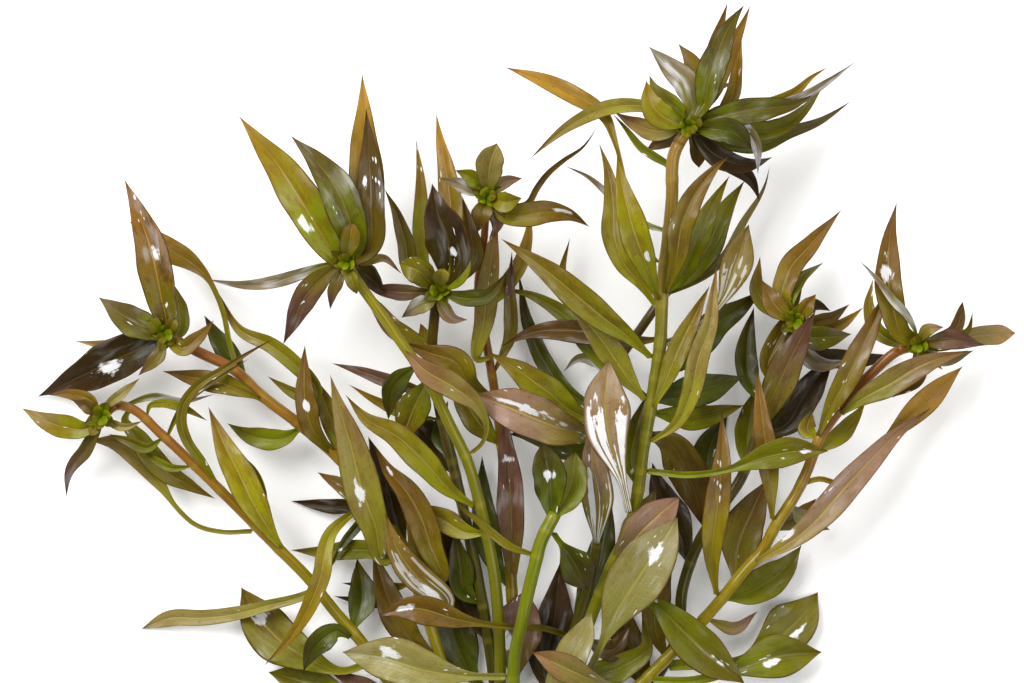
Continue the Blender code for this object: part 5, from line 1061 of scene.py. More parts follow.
def piece_from_skins(name: str, skins: Sequence[Skin], finishes: Finishes) -> bpy.types.Object:
    """One object out of several closed surfaces, each with its finish.

    Args:
        name: Name of the object.
        skins: The surfaces.
        finishes: The materials by name.

    Returns:
        The object, in the scene.
    """
    shifts = np.cumsum([0] + [len(skin.points) for skin in skins])
    points = np.concatenate([skin.points for skin in skins])
    faces = np.concatenate([skin.faces + shift for skin, shift in zip(skins, shifts)])
    used = sorted({skin.finish for skin in skins})
    slots = np.repeat([used.index(skin.finish) for skin in skins], [len(skin.faces) for skin in skins])
    keep = np.ones(faces.shape, dtype=bool)
    keep[:, 1:] = faces[:, 1:] != faces[:, :-1]
    starts = np.cumsum(np.concatenate(([0], keep.sum(axis=1))))
    mesh = bpy.data.meshes.new(name)
    mesh.vertices.add(len(points))
    mesh.vertices.foreach_set("co", points.astype(np.float32).ravel())
    mesh.loops.add(int(starts[-1]))
    mesh.loops.foreach_set("vertex_index", faces[keep].astype(np.int32))
    mesh.polygons.add(len(faces))
    mesh.polygons.foreach_set("loop_start", starts[:-1].astype(np.int32))
    mesh.polygons.foreach_set("material_index", slots.astype(np.int32))
    mesh.polygons.foreach_set("use_smooth", np.ones(len(faces), dtype=bool))
    for key in skins[0].maps:
        values = np.concatenate([skin.maps[key] for skin in skins])[keep]
        mesh.uv_layers.new(name=key).data.foreach_set("uv", values.astype(np.float32).ravel())
    for finish in used:
        mesh.materials.append(finishes[finish])
    mesh.update(calc_edges=True)
    mesh.validate()
    piece = bpy.data.objects.new(name, mesh)
    bpy.context.scene.collection.objects.link(piece)
    return piece


@dataclass
class LeafShell:
    """The shown surface of one leaf, a thin shell with its midrib sunk between two arched halves.

    Sizes are in millimetres. Along the shell run rows at shares of the leaf's length, and around it a loop
    from one margin over the upper side to the other margin and back below. moods are numbers from 0 to 1
    that differ from leaf to leaf and are the same in each run. Of the arch's power and of the ripple's
    turns for each millimetre, two numbers are given: the least, and what a mood adds. The lags are how far
    one margin's waves run ahead of the other's, and the roots how far a leaf's foot is drawn toward the
    middle of its stem.
    """

    blade: Blade
    number: int
    thickness: float = 0.16
    keel: float = 0.20
    keel_width: float = 0.28
    sink: float = 0.24
    sink_power: float = 1.6
    arch: Span = (1.15, 0.8)
    ripple: float = 0.20
    ripple_turns: Span = (0.45, 0.35)
    ripple_lag: float = 1.3
    wobble: float = 0.05
    wobble_turns: float = 8.0
    wobble_lag: float = 1.7
    stalk_width: float = 1.1
    stalk_depth: float = 0.55
    stalk_end: float = 0.6
    end_share: float = 0.985
    row_power: float = 0.95
    tip_drop: float = 0.25
    leaf_root: float = 0.6
    twig_root: float = 0.2
    map_shift: Span = (40.0, 60.0)
    no_patch: tuple[float, ...] = (UNLIT, 0.0, 0.1, 0.3)

    def __post_init__(self) -> None:
        """Works out the rows, the places around the loop, which of them lie below, and the half widths."""
        self.moods = np.modf(np.array([0.754, 0.569, 0.391, 0.217, 0.863]) * (self.number + 3) * 7.13)[0]
        self.rows = (np.linspace(0.0, 1.0, LEAF_ROWS + 1) ** self.row_power * self.end_share)[:, None]
        evenly = np.linspace(-1.0, 1.0, LEAF_COLUMNS)
        top = 0.5 * np.sin(0.5 * np.pi * evenly) + 0.5 * evenly
        self.across = np.concatenate((top, top[-2:0:-1]))
        self.below = (np.arange(len(self.across)) >= LEAF_COLUMNS).astype(float)
        self.half = 0.5 * self.blade.leaf.width * breadth(self.blade.leaf.outline.value, self.rows)

    def shell(self) -> Skin:
        """Carries the loop along the leaf, from a point in or beside its stem to a point at its tip.

        Returns:
            The leaf's closed surface.
        """
        blade = self.blade
        height = (bezier_weights(self.rows[:, 0]) @ blade.heights)[:, None]
        height = height + self.relief() - self.below * self.depth()
        spots = np.concatenate((self.flat_spots(), np.maximum(height, LOWEST)[..., None]), axis=2)
        root = np.array((*blade.plan[0], blade.heights[0]))
        foot = root + (blade.socket - root) * (self.leaf_root if blade.kind is Kind.LEAF else self.twig_root)
        tip = (*blade.plan[-1], max(LOWEST, blade.heights[3] - self.tip_drop))
        return closed_skin(place(spots), place(np.array((foot, tip))), self.maps(), blade.leaf.finish.name)

    def flat_spots(self) -> Array:
        """The shell in plan, with margins that swing by sines of the share of the length.

        Returns:
            A photo spot for each row and place.
        """
        spine, side = self.blade.spine(self.rows[:, 0])
        lag = np.sign(self.across) * self.wobble_lag
        turns = self.wobble_turns * self.rows + FULL_TURN * self.moods[0] + lag
        swing = 1.0 + self.wobble * (np.sin(turns) + 0.5 * np.sin(2.7 * turns + 1.0))
        return spine[:, None, :] + side[:, None, :] * (self.half / PIXEL * self.across * swing)[..., None]

    def relief(self) -> Array:
        """Height over the midline.

        The midrib lies in a groove. Each half rises from it with its own slope and bends over, by a power of
        the distance from the margin, and ripples by sines of the length, more the further out it is.

        Returns:
            Millimetres for each row and place.
        """
        edge, hand, moods = np.abs(self.across), np.sign(self.across), self.moods
        slope = FOLD * self.half * (1.0 + self.blade.lean * hand)
        bent = 1.0 - (1.0 - edge) ** (self.arch[0] + self.arch[1] * moods[4])
        groove = self.sink * (1.0 - edge) ** self.sink_power
        pace = self.ripple_turns[0] + self.ripple_turns[1] * moods[1]
        turns = self.rows * self.blade.length * pace + hand * self.ripple_lag + FULL_TURN * moods[2]
        waves = np.sin(turns) + 0.6 * np.sin(2.3 * turns + 2.0 * moods[3])
        waves *= np.minimum(1.0, self.half / 2.0)
        return slope * bent - groove + self.ripple * edge**2 * waves

    def depth(self) -> Array:
        """How far the under side lies below the upper one: a thin sheet with a keel, stout in the stalk.

        The sheet thins to its margins by a root of one less a power. The keel is a bell, lower to the tip.

        Returns:
            Millimetres for each row and place.
        """
        stout = np.clip(1.0 - self.half / self.stalk_width, 0.0, 1.0) ** 2 * (self.rows < self.stalk_end)
        full = self.thickness + stout * np.minimum(self.stalk_depth, 1.2 * self.half)
        sheet = full * np.sqrt(np.clip(1.0 - self.across**4, 0.0, 1.0))
        bell = np.exp(-((self.across * self.half / self.keel_width) ** 2))
        return sheet + self.keel * (1.0 - self.rows) ** 0.8 * bell

    def maps(self) -> dict[str, tuple[Array, Array]]:
        """The numbers that the leaf's finish reads.

        blade holds the place across (0 to 1) and along; skin the same in millimetres, moved by a different
        amount for each leaf; the patch map the place in the leaf's painted patch of light, from -1 to 1
        inside it;
        mood two numbers that stay the same over the leaf.

        Returns:
            For each map the numbers of the rings and of the two ends.
        """
        loop, rows, moods = np.append(self.across, self.across[0]), self.rows, self.moods
        shift_across, shift_along = self.map_shift * moods[:2]
        along, beside, reach, spread = self.blade.leaf.light_patch or self.no_patch
        grids = {
            "blade": pair(0.5 + 0.5 * loop, rows),
            "skin": pair(loop * self.half + shift_across, rows * self.blade.length + shift_along),
            "light_patch": pair((rows - along) / reach, (loop - beside) / spread),
            "mood": np.broadcast_to(moods[2:4], (len(rows), len(loop), 2)),
        }
        return {name: (grid, grid[[0, -1], LEAF_COLUMNS // 2]) for name, grid in grids.items()}


@dataclass
class StemTube:
    """The shown surface of a stretch of stem, with a swelling at each node and fine ridges.

    start, end and nodes are distances from the stem's top, points how far the two end points stand out, and
    girth what the map takes for once around. Sizes are in millimetres.
    """

    line: Array
    start: float
    end: float
    nodes: Array
    finish: StemFinish
    number: int
    station_step: float = 0.8
    fewest: int = 6
    swell: float = 0.07
    node_reach: float = 0.7
    ridge: float = 0.025
    ridges: int = 5
    twist: float = 0.08
    points: Span = (0.15, 0.03)
    girth: float = 6.0
    map_shift: float = 20.0

    def __post_init__(self) -> None:
        """Works out the stations along the stretch and how near each is to a node."""
        self.along = distances(self.line)
        stations = max(self.fewest, int((self.end - self.start) / self.station_step))
        self.fine = np.linspace(self.start, self.end, stations)[:, None]
        bells = np.exp(-(((self.fine - self.nodes) / self.node_reach) ** 2))
        self.bells = bells.max(axis=1, keepdims=True, initial=0.0)

    def tube(self) -> Skin:
        """The stretch's closed surface: a ring square to the stem, carried along it.

        The radius is the stem's, times one plus a bell at each node and a small cosine around the stem.

        Returns:
            The surface.
        """
        fine = self.fine[:, 0]
        centres = place(self.line[:, :3]) / METRE
        middle = np.stack([np.interp(fine, self.along, column) for column in centres.T], axis=1)
        radius = np.interp(fine, self.along, self.line[:, 3])[:, None]
        run = unit(np.gradient(middle, axis=0))
        side = unit(np.cross(run, (0.0, 0.0, 1.0)))
        crown = np.cross(side, run)
        turn = np.arange(STEM_SIDES) * 2.0 * np.pi / STEM_SIDES
        ridges = self.ridge * np.cos(self.ridges * turn + self.twist * self.fine + self.number)
        size = radius * (1.0 + self.swell * self.bells + ridges)
        ring = np.cos(turn)[:, None] * side[:, None, :] + np.sin(turn)[:, None] * crown[:, None, :]
        points = middle[:, None, :] + ring * size[..., None]
        points[..., 2] = np.maximum(points[..., 2], LOWEST)
        ends = np.array((middle[0] - self.points[0] * run[0], middle[-1] + self.points[1] * run[-1]))
        return closed_skin(points[:, ::-1] * METRE, ends * METRE, self.maps(), self.finish.name)

    def maps(self) -> dict[str, tuple[Array, Array]]:
        """The maps that a leaf has too, of which the stem's finish reads three.

        blade holds the shares around and along, skin millimetres around and along, mood how near a node is.

        Returns:
            For each map the numbers of the rings and of the two ends.
        """
        around = np.linspace(0.0, 1.0, STEM_SIDES + 1)
        grids = {
            "blade": pair(around, self.fine / self.along[-1]),
            "skin": pair(around * self.girth + self.map_shift * self.number, self.fine),
            "light_patch": np.full((len(self.fine), len(around), 2), UNLIT),
            "mood": pair(self.bells, 0.0 * around),
        }
        return {name: (grid, grid[[0, -1], 0]) for name, grid in grids.items()}


class Signal:
    """A socket that carries a number, and takes part in sums as Math nodes."""

    def __init__(self, shop: Shop, socket: bpy.types.NodeSocket) -> None:
        """Wraps a socket of a material's tree."""
        self.shop = shop
        self.socket = socket

    def maths(self, operation: str, *others: Number, clamp: bool = False) -> Signal:
        """A Math node on this signal and others.

        Args:
            operation: Name of the operation.
            others: The second and third numbers.
            clamp: Whether the result stays between 0 and 1.

        Returns:
            The result.
        """
        values = dict(enumerate((self, *others)))
        node = self.shop.node("ShaderNodeMath", {"operation": operation, "use_clamp": clamp}, values)
        return Signal(self.shop, node.outputs[0])

    def __add__(self, other: Number) -> Signal:
        """Sum."""
        return self.maths("ADD", other)

    def __mul__(self, other: Number) -> Signal:
        """Product."""
        return self.maths("MULTIPLY", other)

    def __sub__(self, other: Number) -> Signal:
        """Difference."""
        return self.maths("SUBTRACT", other)

    def __rsub__(self, other: float) -> Signal:
        """Difference, reflected."""
        return self.maths("MULTIPLY_ADD", -1.0, other)

    def __pow__(self, other: Number) -> Signal:
        """Power."""
        return self.maths("POWER", other)

    def __abs__(self) -> Signal:
        """Size without sign."""
        return self.maths("ABSOLUTE")

    __radd__ = __add__
    __rmul__ = __mul__

    def swing(self, reach: float) -> Signal:
        """A noise less its mean of a half, times a reach."""
        return (self - 0.5) * reach

    def rises(self, low: float, high: float) -> Signal:
        """A smooth rise from 0 at low to 1 at high."""
        values = {0: self, 1: low, 2: high, 3: 0.0, 4: 1.0}
        return Signal(self.shop, self.shop.node("ShaderNodeMapRange", SMOOTHLY, values).outputs[0])

    def falls(self, low: float, high: float) -> Signal:
        """A smooth fall from 1 at low to 0 at high."""
        return 1.0 - self.rises(low, high)


Number = Union[Signal, float]
Tint = Union[bpy.types.NodeSocket, Colour]
SMOOTHLY = {"interpolation_type": "SMOOTHSTEP"}
Settings = Mapping[str, Any]
Values = Mapping[Union[int, str], Any]


def linear(colour: Colour, lit: Colour) -> tuple[float, float, float, float]:
    """The linear colour of a seen one, by the usual curve for screens, times shares of it.

    Args:
        colour: Red, green and blue as seen.
        lit: Shares of each.

    Returns:
        Red, green, blue and alpha.
    """
    red, green, blue = (share * (((channel + 0.055) / 1.055) ** 2.4 if channel > 0.04 else channel / 12.92)
                        for channel, share in zip(colour, lit))
    return red, green, blue, 1.0


class Shop:
    """The node tree of one material, where nodes are made."""

    def __init__(self, name: str, lit: Colour = LIT) -> None:
        """Starts a material with its output and its Principled shader.

        Args:
            name: The material's name.
            lit: Shares of a seen colour that its surface has.
        """
        self.lit = lit
        self.material = bpy.data.materials.new(name)
        self.material.use_nodes = True
        self.tree = self.material.node_tree
        self.tree.nodes.clear()
        self.shader = self.node("ShaderNodeBsdfPrincipled", {}, {})
        self.node("ShaderNodeOutputMaterial", {}, {"Surface": self.shader.outputs[0]})

    def node(self, kind: str, settings: Settings, values: Values) -> bpy.types.Node:
        """Any node.

        Args:
            kind: The node's type.
            settings: Its properties, set first.
            values: For its sockets, by number or name, a constant, a signal or a socket to link.

        Returns:
            The node.
        """
        made = self.tree.nodes.new(kind)
        for key, setting in settings.items():
            setattr(made, key, setting)
        self.feed(made, values)
        return made

    def feed(self, node: bpy.types.Node, values: Values) -> None:
        """Sets or links a node's sockets.

        Args:
            node: The node.
            values: For its sockets, by number or name, a constant, a signal or a socket to link.
        """
        for key, value in values.items():
            source = value.socket if isinstance(value, Signal) else value
            if isinstance(source, bpy.types.NodeSocket):
                self.tree.links.new(source, node.inputs[key])
            else:
                node.inputs[key].default_value = source

    def mix(self, share: Number, one: Tint, two: Tint, blend: str = "MIX") -> bpy.types.NodeSocket:
        """Two colours mixed.

        Args:
            share: Share of the second colour.
            one: The first colour.
            two: The second colour.
            blend: How they mix.

        Returns:
            The mixed colour.
        """
        first, second = (linear(tint, self.lit) if isinstance(tint, tuple) else tint for tint in (one, two))
        settings = {"data_type": "RGBA", "blend_type": blend}
        return self.node("ShaderNodeMix", settings, {0: share, 6: first, 7: second}).outputs[2]

    def grey(self, signal: Number) -> bpy.types.NodeSocket:
        """A number as a grey colour."""
        return self.node("ShaderNodeCombineColor", {}, {0: signal, 1: signal, 2: signal}).outputs[0]

    def map(self, name: str) -> tuple[Signal, Signal]:
        """Reads one of the piece's maps.

        Args:
            name: The map's name.

        Returns:
            Its two numbers.
        """
        source = self.node("ShaderNodeUVMap", {"uv_map": name}, {}).outputs[0]
        first, second, _ = self.node("ShaderNodeSeparateXYZ", {}, {0: source}).outputs
        return Signal(self, first), Signal(self, second)

    def noise(self, across: Signal, along: Signal, grain: Grain) -> Signal:
        """Noise over two numbers, around 0.5.

        Args:
            across: The first number, such as millimetres across.
            along: The second.
            grain: Grains for each unit of the two, and how many finer layers there are.

        Returns:
            The noise.
        """
        spot = self.node("ShaderNodeCombineXYZ", {}, {0: across * grain[0], 1: along * grain[1]}).outputs[0]
        made = self.node("ShaderNodeTexNoise", {"noise_dimensions": "2D"},
                         {"Vector": spot, "Scale": 1.0, "Detail": grain[2]})
        return Signal(self, made.outputs[0])

    def bump(self, relief: Signal, strength: float, distance: float) -> bpy.types.NodeSocket:
        """The normal of a relief.

        Args:
            relief: Its height.
            strength: Its strength, from 0 to 1.
            distance: What a height of one is, in metres.

        Returns:
            The normal.
        """
        return self.node("ShaderNodeBump", {},
                         {"Strength": strength, "Distance": distance, "Height": relief}).outputs[0]

    def finish_with(self, values: Values) -> bpy.types.Material:
        """Sets or links the shader's own sockets, and gives the material."""
        self.feed(self.shader, values)
        return self.material


@dataclass
class LeafDress:
    """The dress of a leaf: flesh, veins, a film of water with a painted grey sheen, painted highlights in
    patches, stripes and drops, and a wet gloss.

    Grains are counted in a millimetre across and along, and those of the painted highlight stripes in a half
    width and in the length. A span is where a mark begins and ends: across, 0 is the midrib and 1 the margin;
    along, 0 is the base and 1 the tip; on a noise, 0.5 is the middle. The other numbers are shares of a
    mark's colour, and what the shader takes.
    """

    finish: LeafFinish
    clouds: Grain = (0.34, 0.15, 3.0)
    shreds: Grain = (0.9, 0.42, 3.0)
    grit: Grain = (2.6, 0.9, 3.0)
    threads: Grain = (6.0, 0.22, 1.0)
    specks: Grain = (1.7, 1.7, 0.0)
    sheen_films: Grain = (0.50, 0.13, 2.0)
    glint_stripes: Grain = (4.2, 0.9, 1.0)
    glint_clusters: Grain = (0.22, 0.10, 1.0)
    drop_glints: Grain = (1.7, 0.50, 1.0)
    middle_span: Span = (0.14, 0.66)
    tip_span: Span = (0.60, 0.98)
    stain_span: Span = (0.46, 0.72)
    speck_span: Span = (0.80, 0.86)
    rib_span: Span = (0.01, 0.085)
    rib_end: Span = (0.72, 1.0)
    trough_span: Span = (0.06, 0.24)
    margin_span: Span = (0.84, 1.0)
    dark_tip: Span = (0.93, 1.0)
    vein_width: Span = (0.0, 0.30)
    vein_start: Span = (0.04, 0.2)
    vein_end: Span = (0.7, 0.98)
    vein_slant: float = 2.2
    vein_pace: float = 0.62
    vein_waves: float = 1.5
    glint_stripe_span: Span = (0.49, 0.53)
    glint_stripe_end: Span = (0.66, 0.70)
    glint_stripe_side: Span = (0.78, 0.90)
    glint_stripe_rib: Span = (0.05, 0.12)
    patch_span: Span = (0.60, 1.06)
    drop_glint_span: Span = (0.70, 0.74)
    texture: float = 0.55
    vein: float = 0.24
    trough: float = 0.30
    rib: float = 0.7
    margin: float = 0.7
    end: float = 0.5
    speck: float = 0.5
    glint: float = 0.92
    sheen_grey: float = 0.50
    light: float = 0.70
    roughness: float = 0.36
    smoothest: float = 0.08
    coat: Span = (0.09, 0.25)
    coat_roughness: float = 0.14
    specular: float = 0.16
    relief: float = 0.00014

    def __post_init__(self) -> None:
        """Starts the material, with the leaf's maps and the noises that several marks share."""
        self.shop = Shop(self.finish.name)
        across, self.along = self.shop.map("blade")
        self.beside, self.length = self.shop.map("skin")
        self.light_patch = self.shop.map("light_patch")
        self.shade, self.hue = self.shop.map("mood")
        self.across = across * 2.0 - 1.0
        self.edge = abs(self.across)
        self.cloud, self.ragged, self.fine, self.thread = (
            self.noise(grain) for grain in (self.clouds, self.shreds, self.grit, self.threads))

    def noise(self, grain: Grain, shift: float = 0.0) -> Signal:
        """Noise over the leaf in millimetres, read from a place that is shifted sideways."""
        return self.shop.noise(self.beside + shift if shift else self.beside, self.length, grain)

    def flesh(self) -> bpy.types.NodeSocket:
        """Colours that change from base to tip where clouds let them, with stains, and threads along them.

        Returns:
            The colour.
        """
        finish, mix = self.finish, self.shop.mix
        drift = (self.along + self.cloud.swing(0.6) + self.hue.swing(0.4)).maths("ADD", 0.0, clamp=True)
        colour = mix(drift.rises(*self.middle_span), finish.base, finish.middle)
        colour = mix(drift.rises(*self.tip_span), colour, finish.tip)
        stains = (self.cloud + self.ragged.swing(0.5) + self.shade.swing(0.12)).rises(*self.stain_span)
        colour = mix(stains * finish.blotches, colour, finish.blotch)
        tone = 0.30 + self.thread * 0.40 + self.shade.swing(0.34)
        return mix(self.texture, colour, self.shop.grey(tone), "OVERLAY")

    def side_veins(self) -> Signal:
        """A slanted comb of the length, made wavy by the clouds, and clear of the midrib and the margins.

        Returns:
            How strong the side veins are.
        """
        slanted = self.length - self.edge * (self.vein_slant + self.fine)
        comb = slanted * self.vein_pace + self.cloud * self.vein_waves
        line = (comb.maths("PINGPONG", 0.5) * 2.0).falls(*self.vein_width)
        return line * self.edge.rises(*self.vein_start) * self.edge.falls(*self.vein_end)

    def film(self) -> Signal:
        """Where a film of water greys the leaf by a painted sheen: drawn-out pools, more of them where film
        is high.
        """
        pools = self.noise(self.sheen_films, 9.0) + self.thread.swing(0.2)
        return pools.rises(0.60 - 0.25 * self.finish.film, 0.82 - 0.15 * self.finish.film)

    def glints(self) -> Signal:
        """Painted highlights: stripes between the veins, one patch, and drops in wetter places.

        Returns:
            How strong the painted light is.
        """
        # Painted highlights: white stripes fanned between the veins, clear of the tip, the margins and the
        # midrib.
        fan = self.shop.noise(self.across + self.hue * 37.0, self.along, self.glint_stripes)
        fan = (fan + self.ragged.swing(0.22)).rises(*self.glint_stripe_span)
        free_tip = (self.along + self.ragged.swing(0.5) + self.cloud.swing(0.3)).falls(*self.glint_stripe_end)
        glint_stripe = fan * free_tip * self.edge.falls(*self.glint_stripe_side)
        glint_stripe = glint_stripe * self.edge.rises(*self.glint_stripe_rib) * self.finish.glint_stripes
        # Painted highlight: one patch of white light where the leaf's patch map puts it.
        away = (self.light_patch[0] ** 2.0 + self.light_patch[1] ** 2.0).maths("SQRT")
        reach = away + self.ragged.swing(2.6) + self.thread.swing(0.7)
        patch = reach.falls(*self.patch_span) * (0.55 + self.thread * 0.9).maths("ADD", 0.0, clamp=True)
        # Painted highlights: small white specks of light, only where the clusters allow, more of them with
        # more glints.
        drop_glints = (self.noise(self.drop_glints, 7.0) + self.thread.swing(0.25)).rises(*self.drop_glint_span)
        glint_floor = 0.75 - 0.14 * self.finish.glints
        drop_glints = drop_glints * self.noise(self.glint_clusters, 5.0).rises(glint_floor, glint_floor + 0.03)
        return patch.maths("MAXIMUM", glint_stripe).maths("MAXIMUM", drop_glints)

    def material(self) -> bpy.types.Material:
        """Lays veins, midrib, dark margins, specks, then a painted grey sheen of water and painted highlights
        over the flesh.

        Returns:
            The material.
        """
        finish, shop, mix, edge = self.finish, self.shop, self.shop.mix, self.edge
        vein, film, glint = self.side_veins(), self.film(), self.glints()
        rib = edge.falls(*self.rib_span) * (1.0 - self.along.rises(*self.rib_end) * 0.8)
        margin = (edge + self.fine.swing(0.10)).rises(*self.margin_span)
        colour = mix(vein * (self.vein * finish.veins), self.flesh(), finish.rib)
        colour = mix(edge.falls(*self.trough_span) * self.trough, colour, finish.blotch)
        colour = mix(rib * self.rib, colour, finish.rib)
        colour = mix(margin * self.margin, colour, finish.edge)
        colour = mix(self.along.rises(*self.dark_tip) * self.end, colour, finish.edge)
        colour = mix(self.noise(self.specks).rises(*self.speck_span) * self.speck, colour, finish.edge)
        # Painted sheen: the grey reflection of a water film, laid into the colour.
        colour = mix(film * finish.film, colour, shop.grey(self.sheen_grey))
        rough = self.roughness + self.fine.swing(0.25) - film * 0.12 - glint * 0.2
        relief = self.thread * 0.45 + self.fine * 0.35 - vein * (0.35 * finish.veins) - rib * 0.8
        return shop.finish_with({
            # Painted highlights: where the glints are, the colour turns near white.
            "Base Color": mix(glint * self.glint, colour, shop.grey(self.light)),
            "Roughness": rough.maths("MAXIMUM", self.smoothest),
            "Coat Weight": self.coat[0] + film * self.coat[1],
            "Coat Roughness": self.coat_roughness,
            "Specular IOR Level": self.specular,
            "Normal": shop.bump(relief, 0.6, self.relief),
        })


@dataclass
class StemDress:
    """The dress of a stem: colour from top to foot, streaks, paler rings at the nodes, and a wet coat."""

    finish: StemFinish
    clouds: Grain = (0.5, 0.07, 2.0)
    threads: Grain = (3.2, 0.12, 2.0)
    grit: Grain = (3.0, 2.0, 3.0)
    turn_reach: Span = (-0.22, 0.25)
    streak_span: Span = (0.48, 0.70)
    ring_span: Span = (0.25, 0.9)
    ring: Colour = (0.70, 0.68, 0.26)
    texture: float = 0.35
    streak: float = 0.55
    ring_strength: float = 0.25
    roughness: float = 0.32
    coat: float = 0.25
    coat_roughness: float = 0.14
    specular: float = 0.20
    relief: float = 0.00012

    def material(self) -> bpy.types.Material:
        """Lays streaks, grain and rings over the colours from top to foot.

        Returns:
            The material.
        """
        finish, shop = self.finish, Shop(self.finish.name)
        _, along = shop.map("blade")
        beside, length = shop.map("skin")
        near_node, _ = shop.map("mood")
        grains = (self.clouds, self.threads, self.grit)
        cloud, thread, fine = (shop.noise(beside, length, grain) for grain in grains)
        before, after = (finish.turn + reach for reach in self.turn_reach)
        colour = shop.mix((along + cloud.swing(0.35)).rises(before, after), finish.top, finish.foot)
        colour = shop.mix(thread.rises(*self.streak_span) * self.streak, colour, finish.streak)
        colour = shop.mix(self.texture, colour, shop.grey(0.36 + fine * 0.3), "OVERLAY")
        return shop.finish_with({
            "Base Color": shop.mix(near_node.rises(*self.ring_span) * self.ring_strength, colour, self.ring),
            "Roughness": self.roughness + fine.swing(0.2),
            "Coat Weight": self.coat,
            "Coat Roughness": self.coat_roughness,
            "Specular IOR Level": self.specular,
            "Normal": shop.bump(thread * 0.7 + fine * 0.3, 0.5, self.relief),
        })


@dataclass
class Bunch:
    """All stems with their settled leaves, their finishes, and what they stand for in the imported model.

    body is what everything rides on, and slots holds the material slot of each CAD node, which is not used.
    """

    stems: Sequence[Stem]
    body: str
    slots: Mapping[str, str]

    def __post_init__(self) -> None:
        """Sets every leaf on its stem, moves the leaves apart, and makes the finishes."""
        self.lines = [stem_spots(stem) for stem in self.stems]
        self.blades: list[Blade] = []
        rods: list[Rod] = []
        for owner, (stem, line) in enumerate(zip(self.stems, self.lines)):
            shoot_twig, stem_twig = 2 * owner, 2 * owner + 1
            bud = int(np.searchsorted(distances(line), TIP_CUT)) if stem.shoot else 0
            rods.append(Rod(line[bud:], owner, stem_twig))
            if stem.shoot:
                rods.append(Rod(line[:bud], owner, shoot_twig))
            self.blades += [Blade(leaf, line, owner, shoot_twig, Kind.SHOOT) for leaf in stem.shoot]
            self.blades += [Blade(leaf, line, owner, stem_twig, Kind.SMALL) for leaf in stem.small_leaves]
            own_twig = 2 * len(self.stems) + len(self.blades)
            self.blades += [Blade(leaf, line, owner, own_twig + number, Kind.LEAF)
                            for number, leaf in enumerate(stem.leaves)]
        Heap(self.blades, rods).settle()
        leaf_finishes = dict.fromkeys([*(blade.leaf.finish for blade in self.blades), YOUNG])
        stem_finishes = dict.fromkeys(stem.finish for stem in self.stems)
        dresses = [*map(LeafDress, leaf_finishes), *map(StemDress, stem_finishes)]
        self.finishes = {dress.finish.name: dress.material() for dress in dresses}

    def shells(self, owner: int, kind: Kind) -> list[Skin]:
        """The surfaces of the leaves of one kind on one stem."""
        return [LeafShell(blade, number).shell() for number, blade in enumerate(self.blades)
                if blade.owner == owner and blade.kind is kind]

    def stand_in(self, node: str, skins: Sequence[Skin]) -> bpy.types.Object:
        """One object out of closed surfaces, in place of a CAD node.

        Args:
            node: Name of the CAD node.
            skins: The surfaces.

        Returns:
            The object.
        """
        piece = piece_from_skins(f"{node}_skin", skins, self.finishes)
        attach(piece, self.body)
        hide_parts(node)
        return piece


@dataclass
class StemPiece:
    """A stem below its shoot tip, with the small leaves that are one piece with it."""

    bunch: Bunch
    owner: int
    joint_gap: float = 0.05

    def build(self) -> bpy.types.Object:
        """Makes the stem, in place of the CAD node.

        Returns:
            The object.
        """
        bunch, stem, line = self.bunch, self.bunch.stems[self.owner], self.bunch.lines[self.owner]
        along = distances(line)
        start = TIP_CUT + self.joint_gap if stem.shoot else 0.0
        tube = StemTube(line, start, along[-1], along[self.nodes(line)], stem.finish, self.owner).tube()
        return bunch.stand_in(f"{stem.name}_stem", [tube, *bunch.shells(self.owner, Kind.SMALL)])

    def nodes(self, line: Array) -> list[int]:
        """Finds where leaves leave the stem.

        Args:
            line: Spots, heights and radii along the stem.

        Returns:
            Numbers of points of the line.
        """
        roots = [blade.socket[:2] for blade in self.bunch.blades
                 if blade.owner == self.owner and blade.kind is not Kind.SHOOT]
        return [int(np.argmin(np.linalg.norm(line[:, :2] - root, axis=1))) for root in roots]


@dataclass
class ShootPiece:
    """The top of a stem: its growing point, the leaves around it, and small young leaves in a spiral."""

    bunch: Bunch
    owner: int
    node: float = 1.0
    young: int = 8
    innermost: int = 2
    young_length: float = 21.0
    young_width: float = 2.1
    turn: float = 2.4
    rise: float = 3.4
    fall: float = 0.3
    shortest: float = 0.4
    inner_shares: tuple[float, ...] = (-0.3, 0.4, 1.0)
    outer_shares: tuple[float, ...] = (0.2, 0.6, 1.0)
    first_number: int = 500

    def build(self) -> bpy.types.Object:
        """Makes the shoot tip, in place of the CAD node.

        Returns:
            The object.
        """
        bunch, stem, line = self.bunch, self.bunch.stems[self.owner], self.bunch.lines[self.owner]
        tube = StemTube(line, 0.0, TIP_CUT, np.array([self.node]), stem.finish, self.owner).tube()
        young = [LeafShell(self.young_leaf(step, line), self.first_number + step).shell()
                 for step in range(self.young)]
        return bunch.stand_in(f"{stem.name}_shoot_tip", [tube, *bunch.shells(self.owner, Kind.SHOOT), *young])

    def young_leaf(self, step: int, line: Array) -> Blade:
        """A small upright leaf, longer and lower than the one before it.

        Args:
            step: Its number in the spiral.
            line: Spots, heights and radii along the stem.

        Returns:
            The leaf.
        """
        top, angle = line[0], self.turn * step + self.owner
        reach = self.young_length * (self.shortest + (1.0 - self.shortest) * step / self.young)
        shares, outline = (self.inner_shares, OVAL) if step < self.innermost else (self.outer_shares, SESSILE)
        way = np.array([np.cos(angle), np.sin(angle)])
        plan = tuple(tuple(top[:2] + way * reach * share) for share in shares)
        height = top[2] + self.rise - self.fall * step
        leaf = Leaf(plan, self.young_width, height, height + self.fall, YOUNG, outline)
        return Blade(leaf, line, self.owner, 0, Kind.SHOOT)


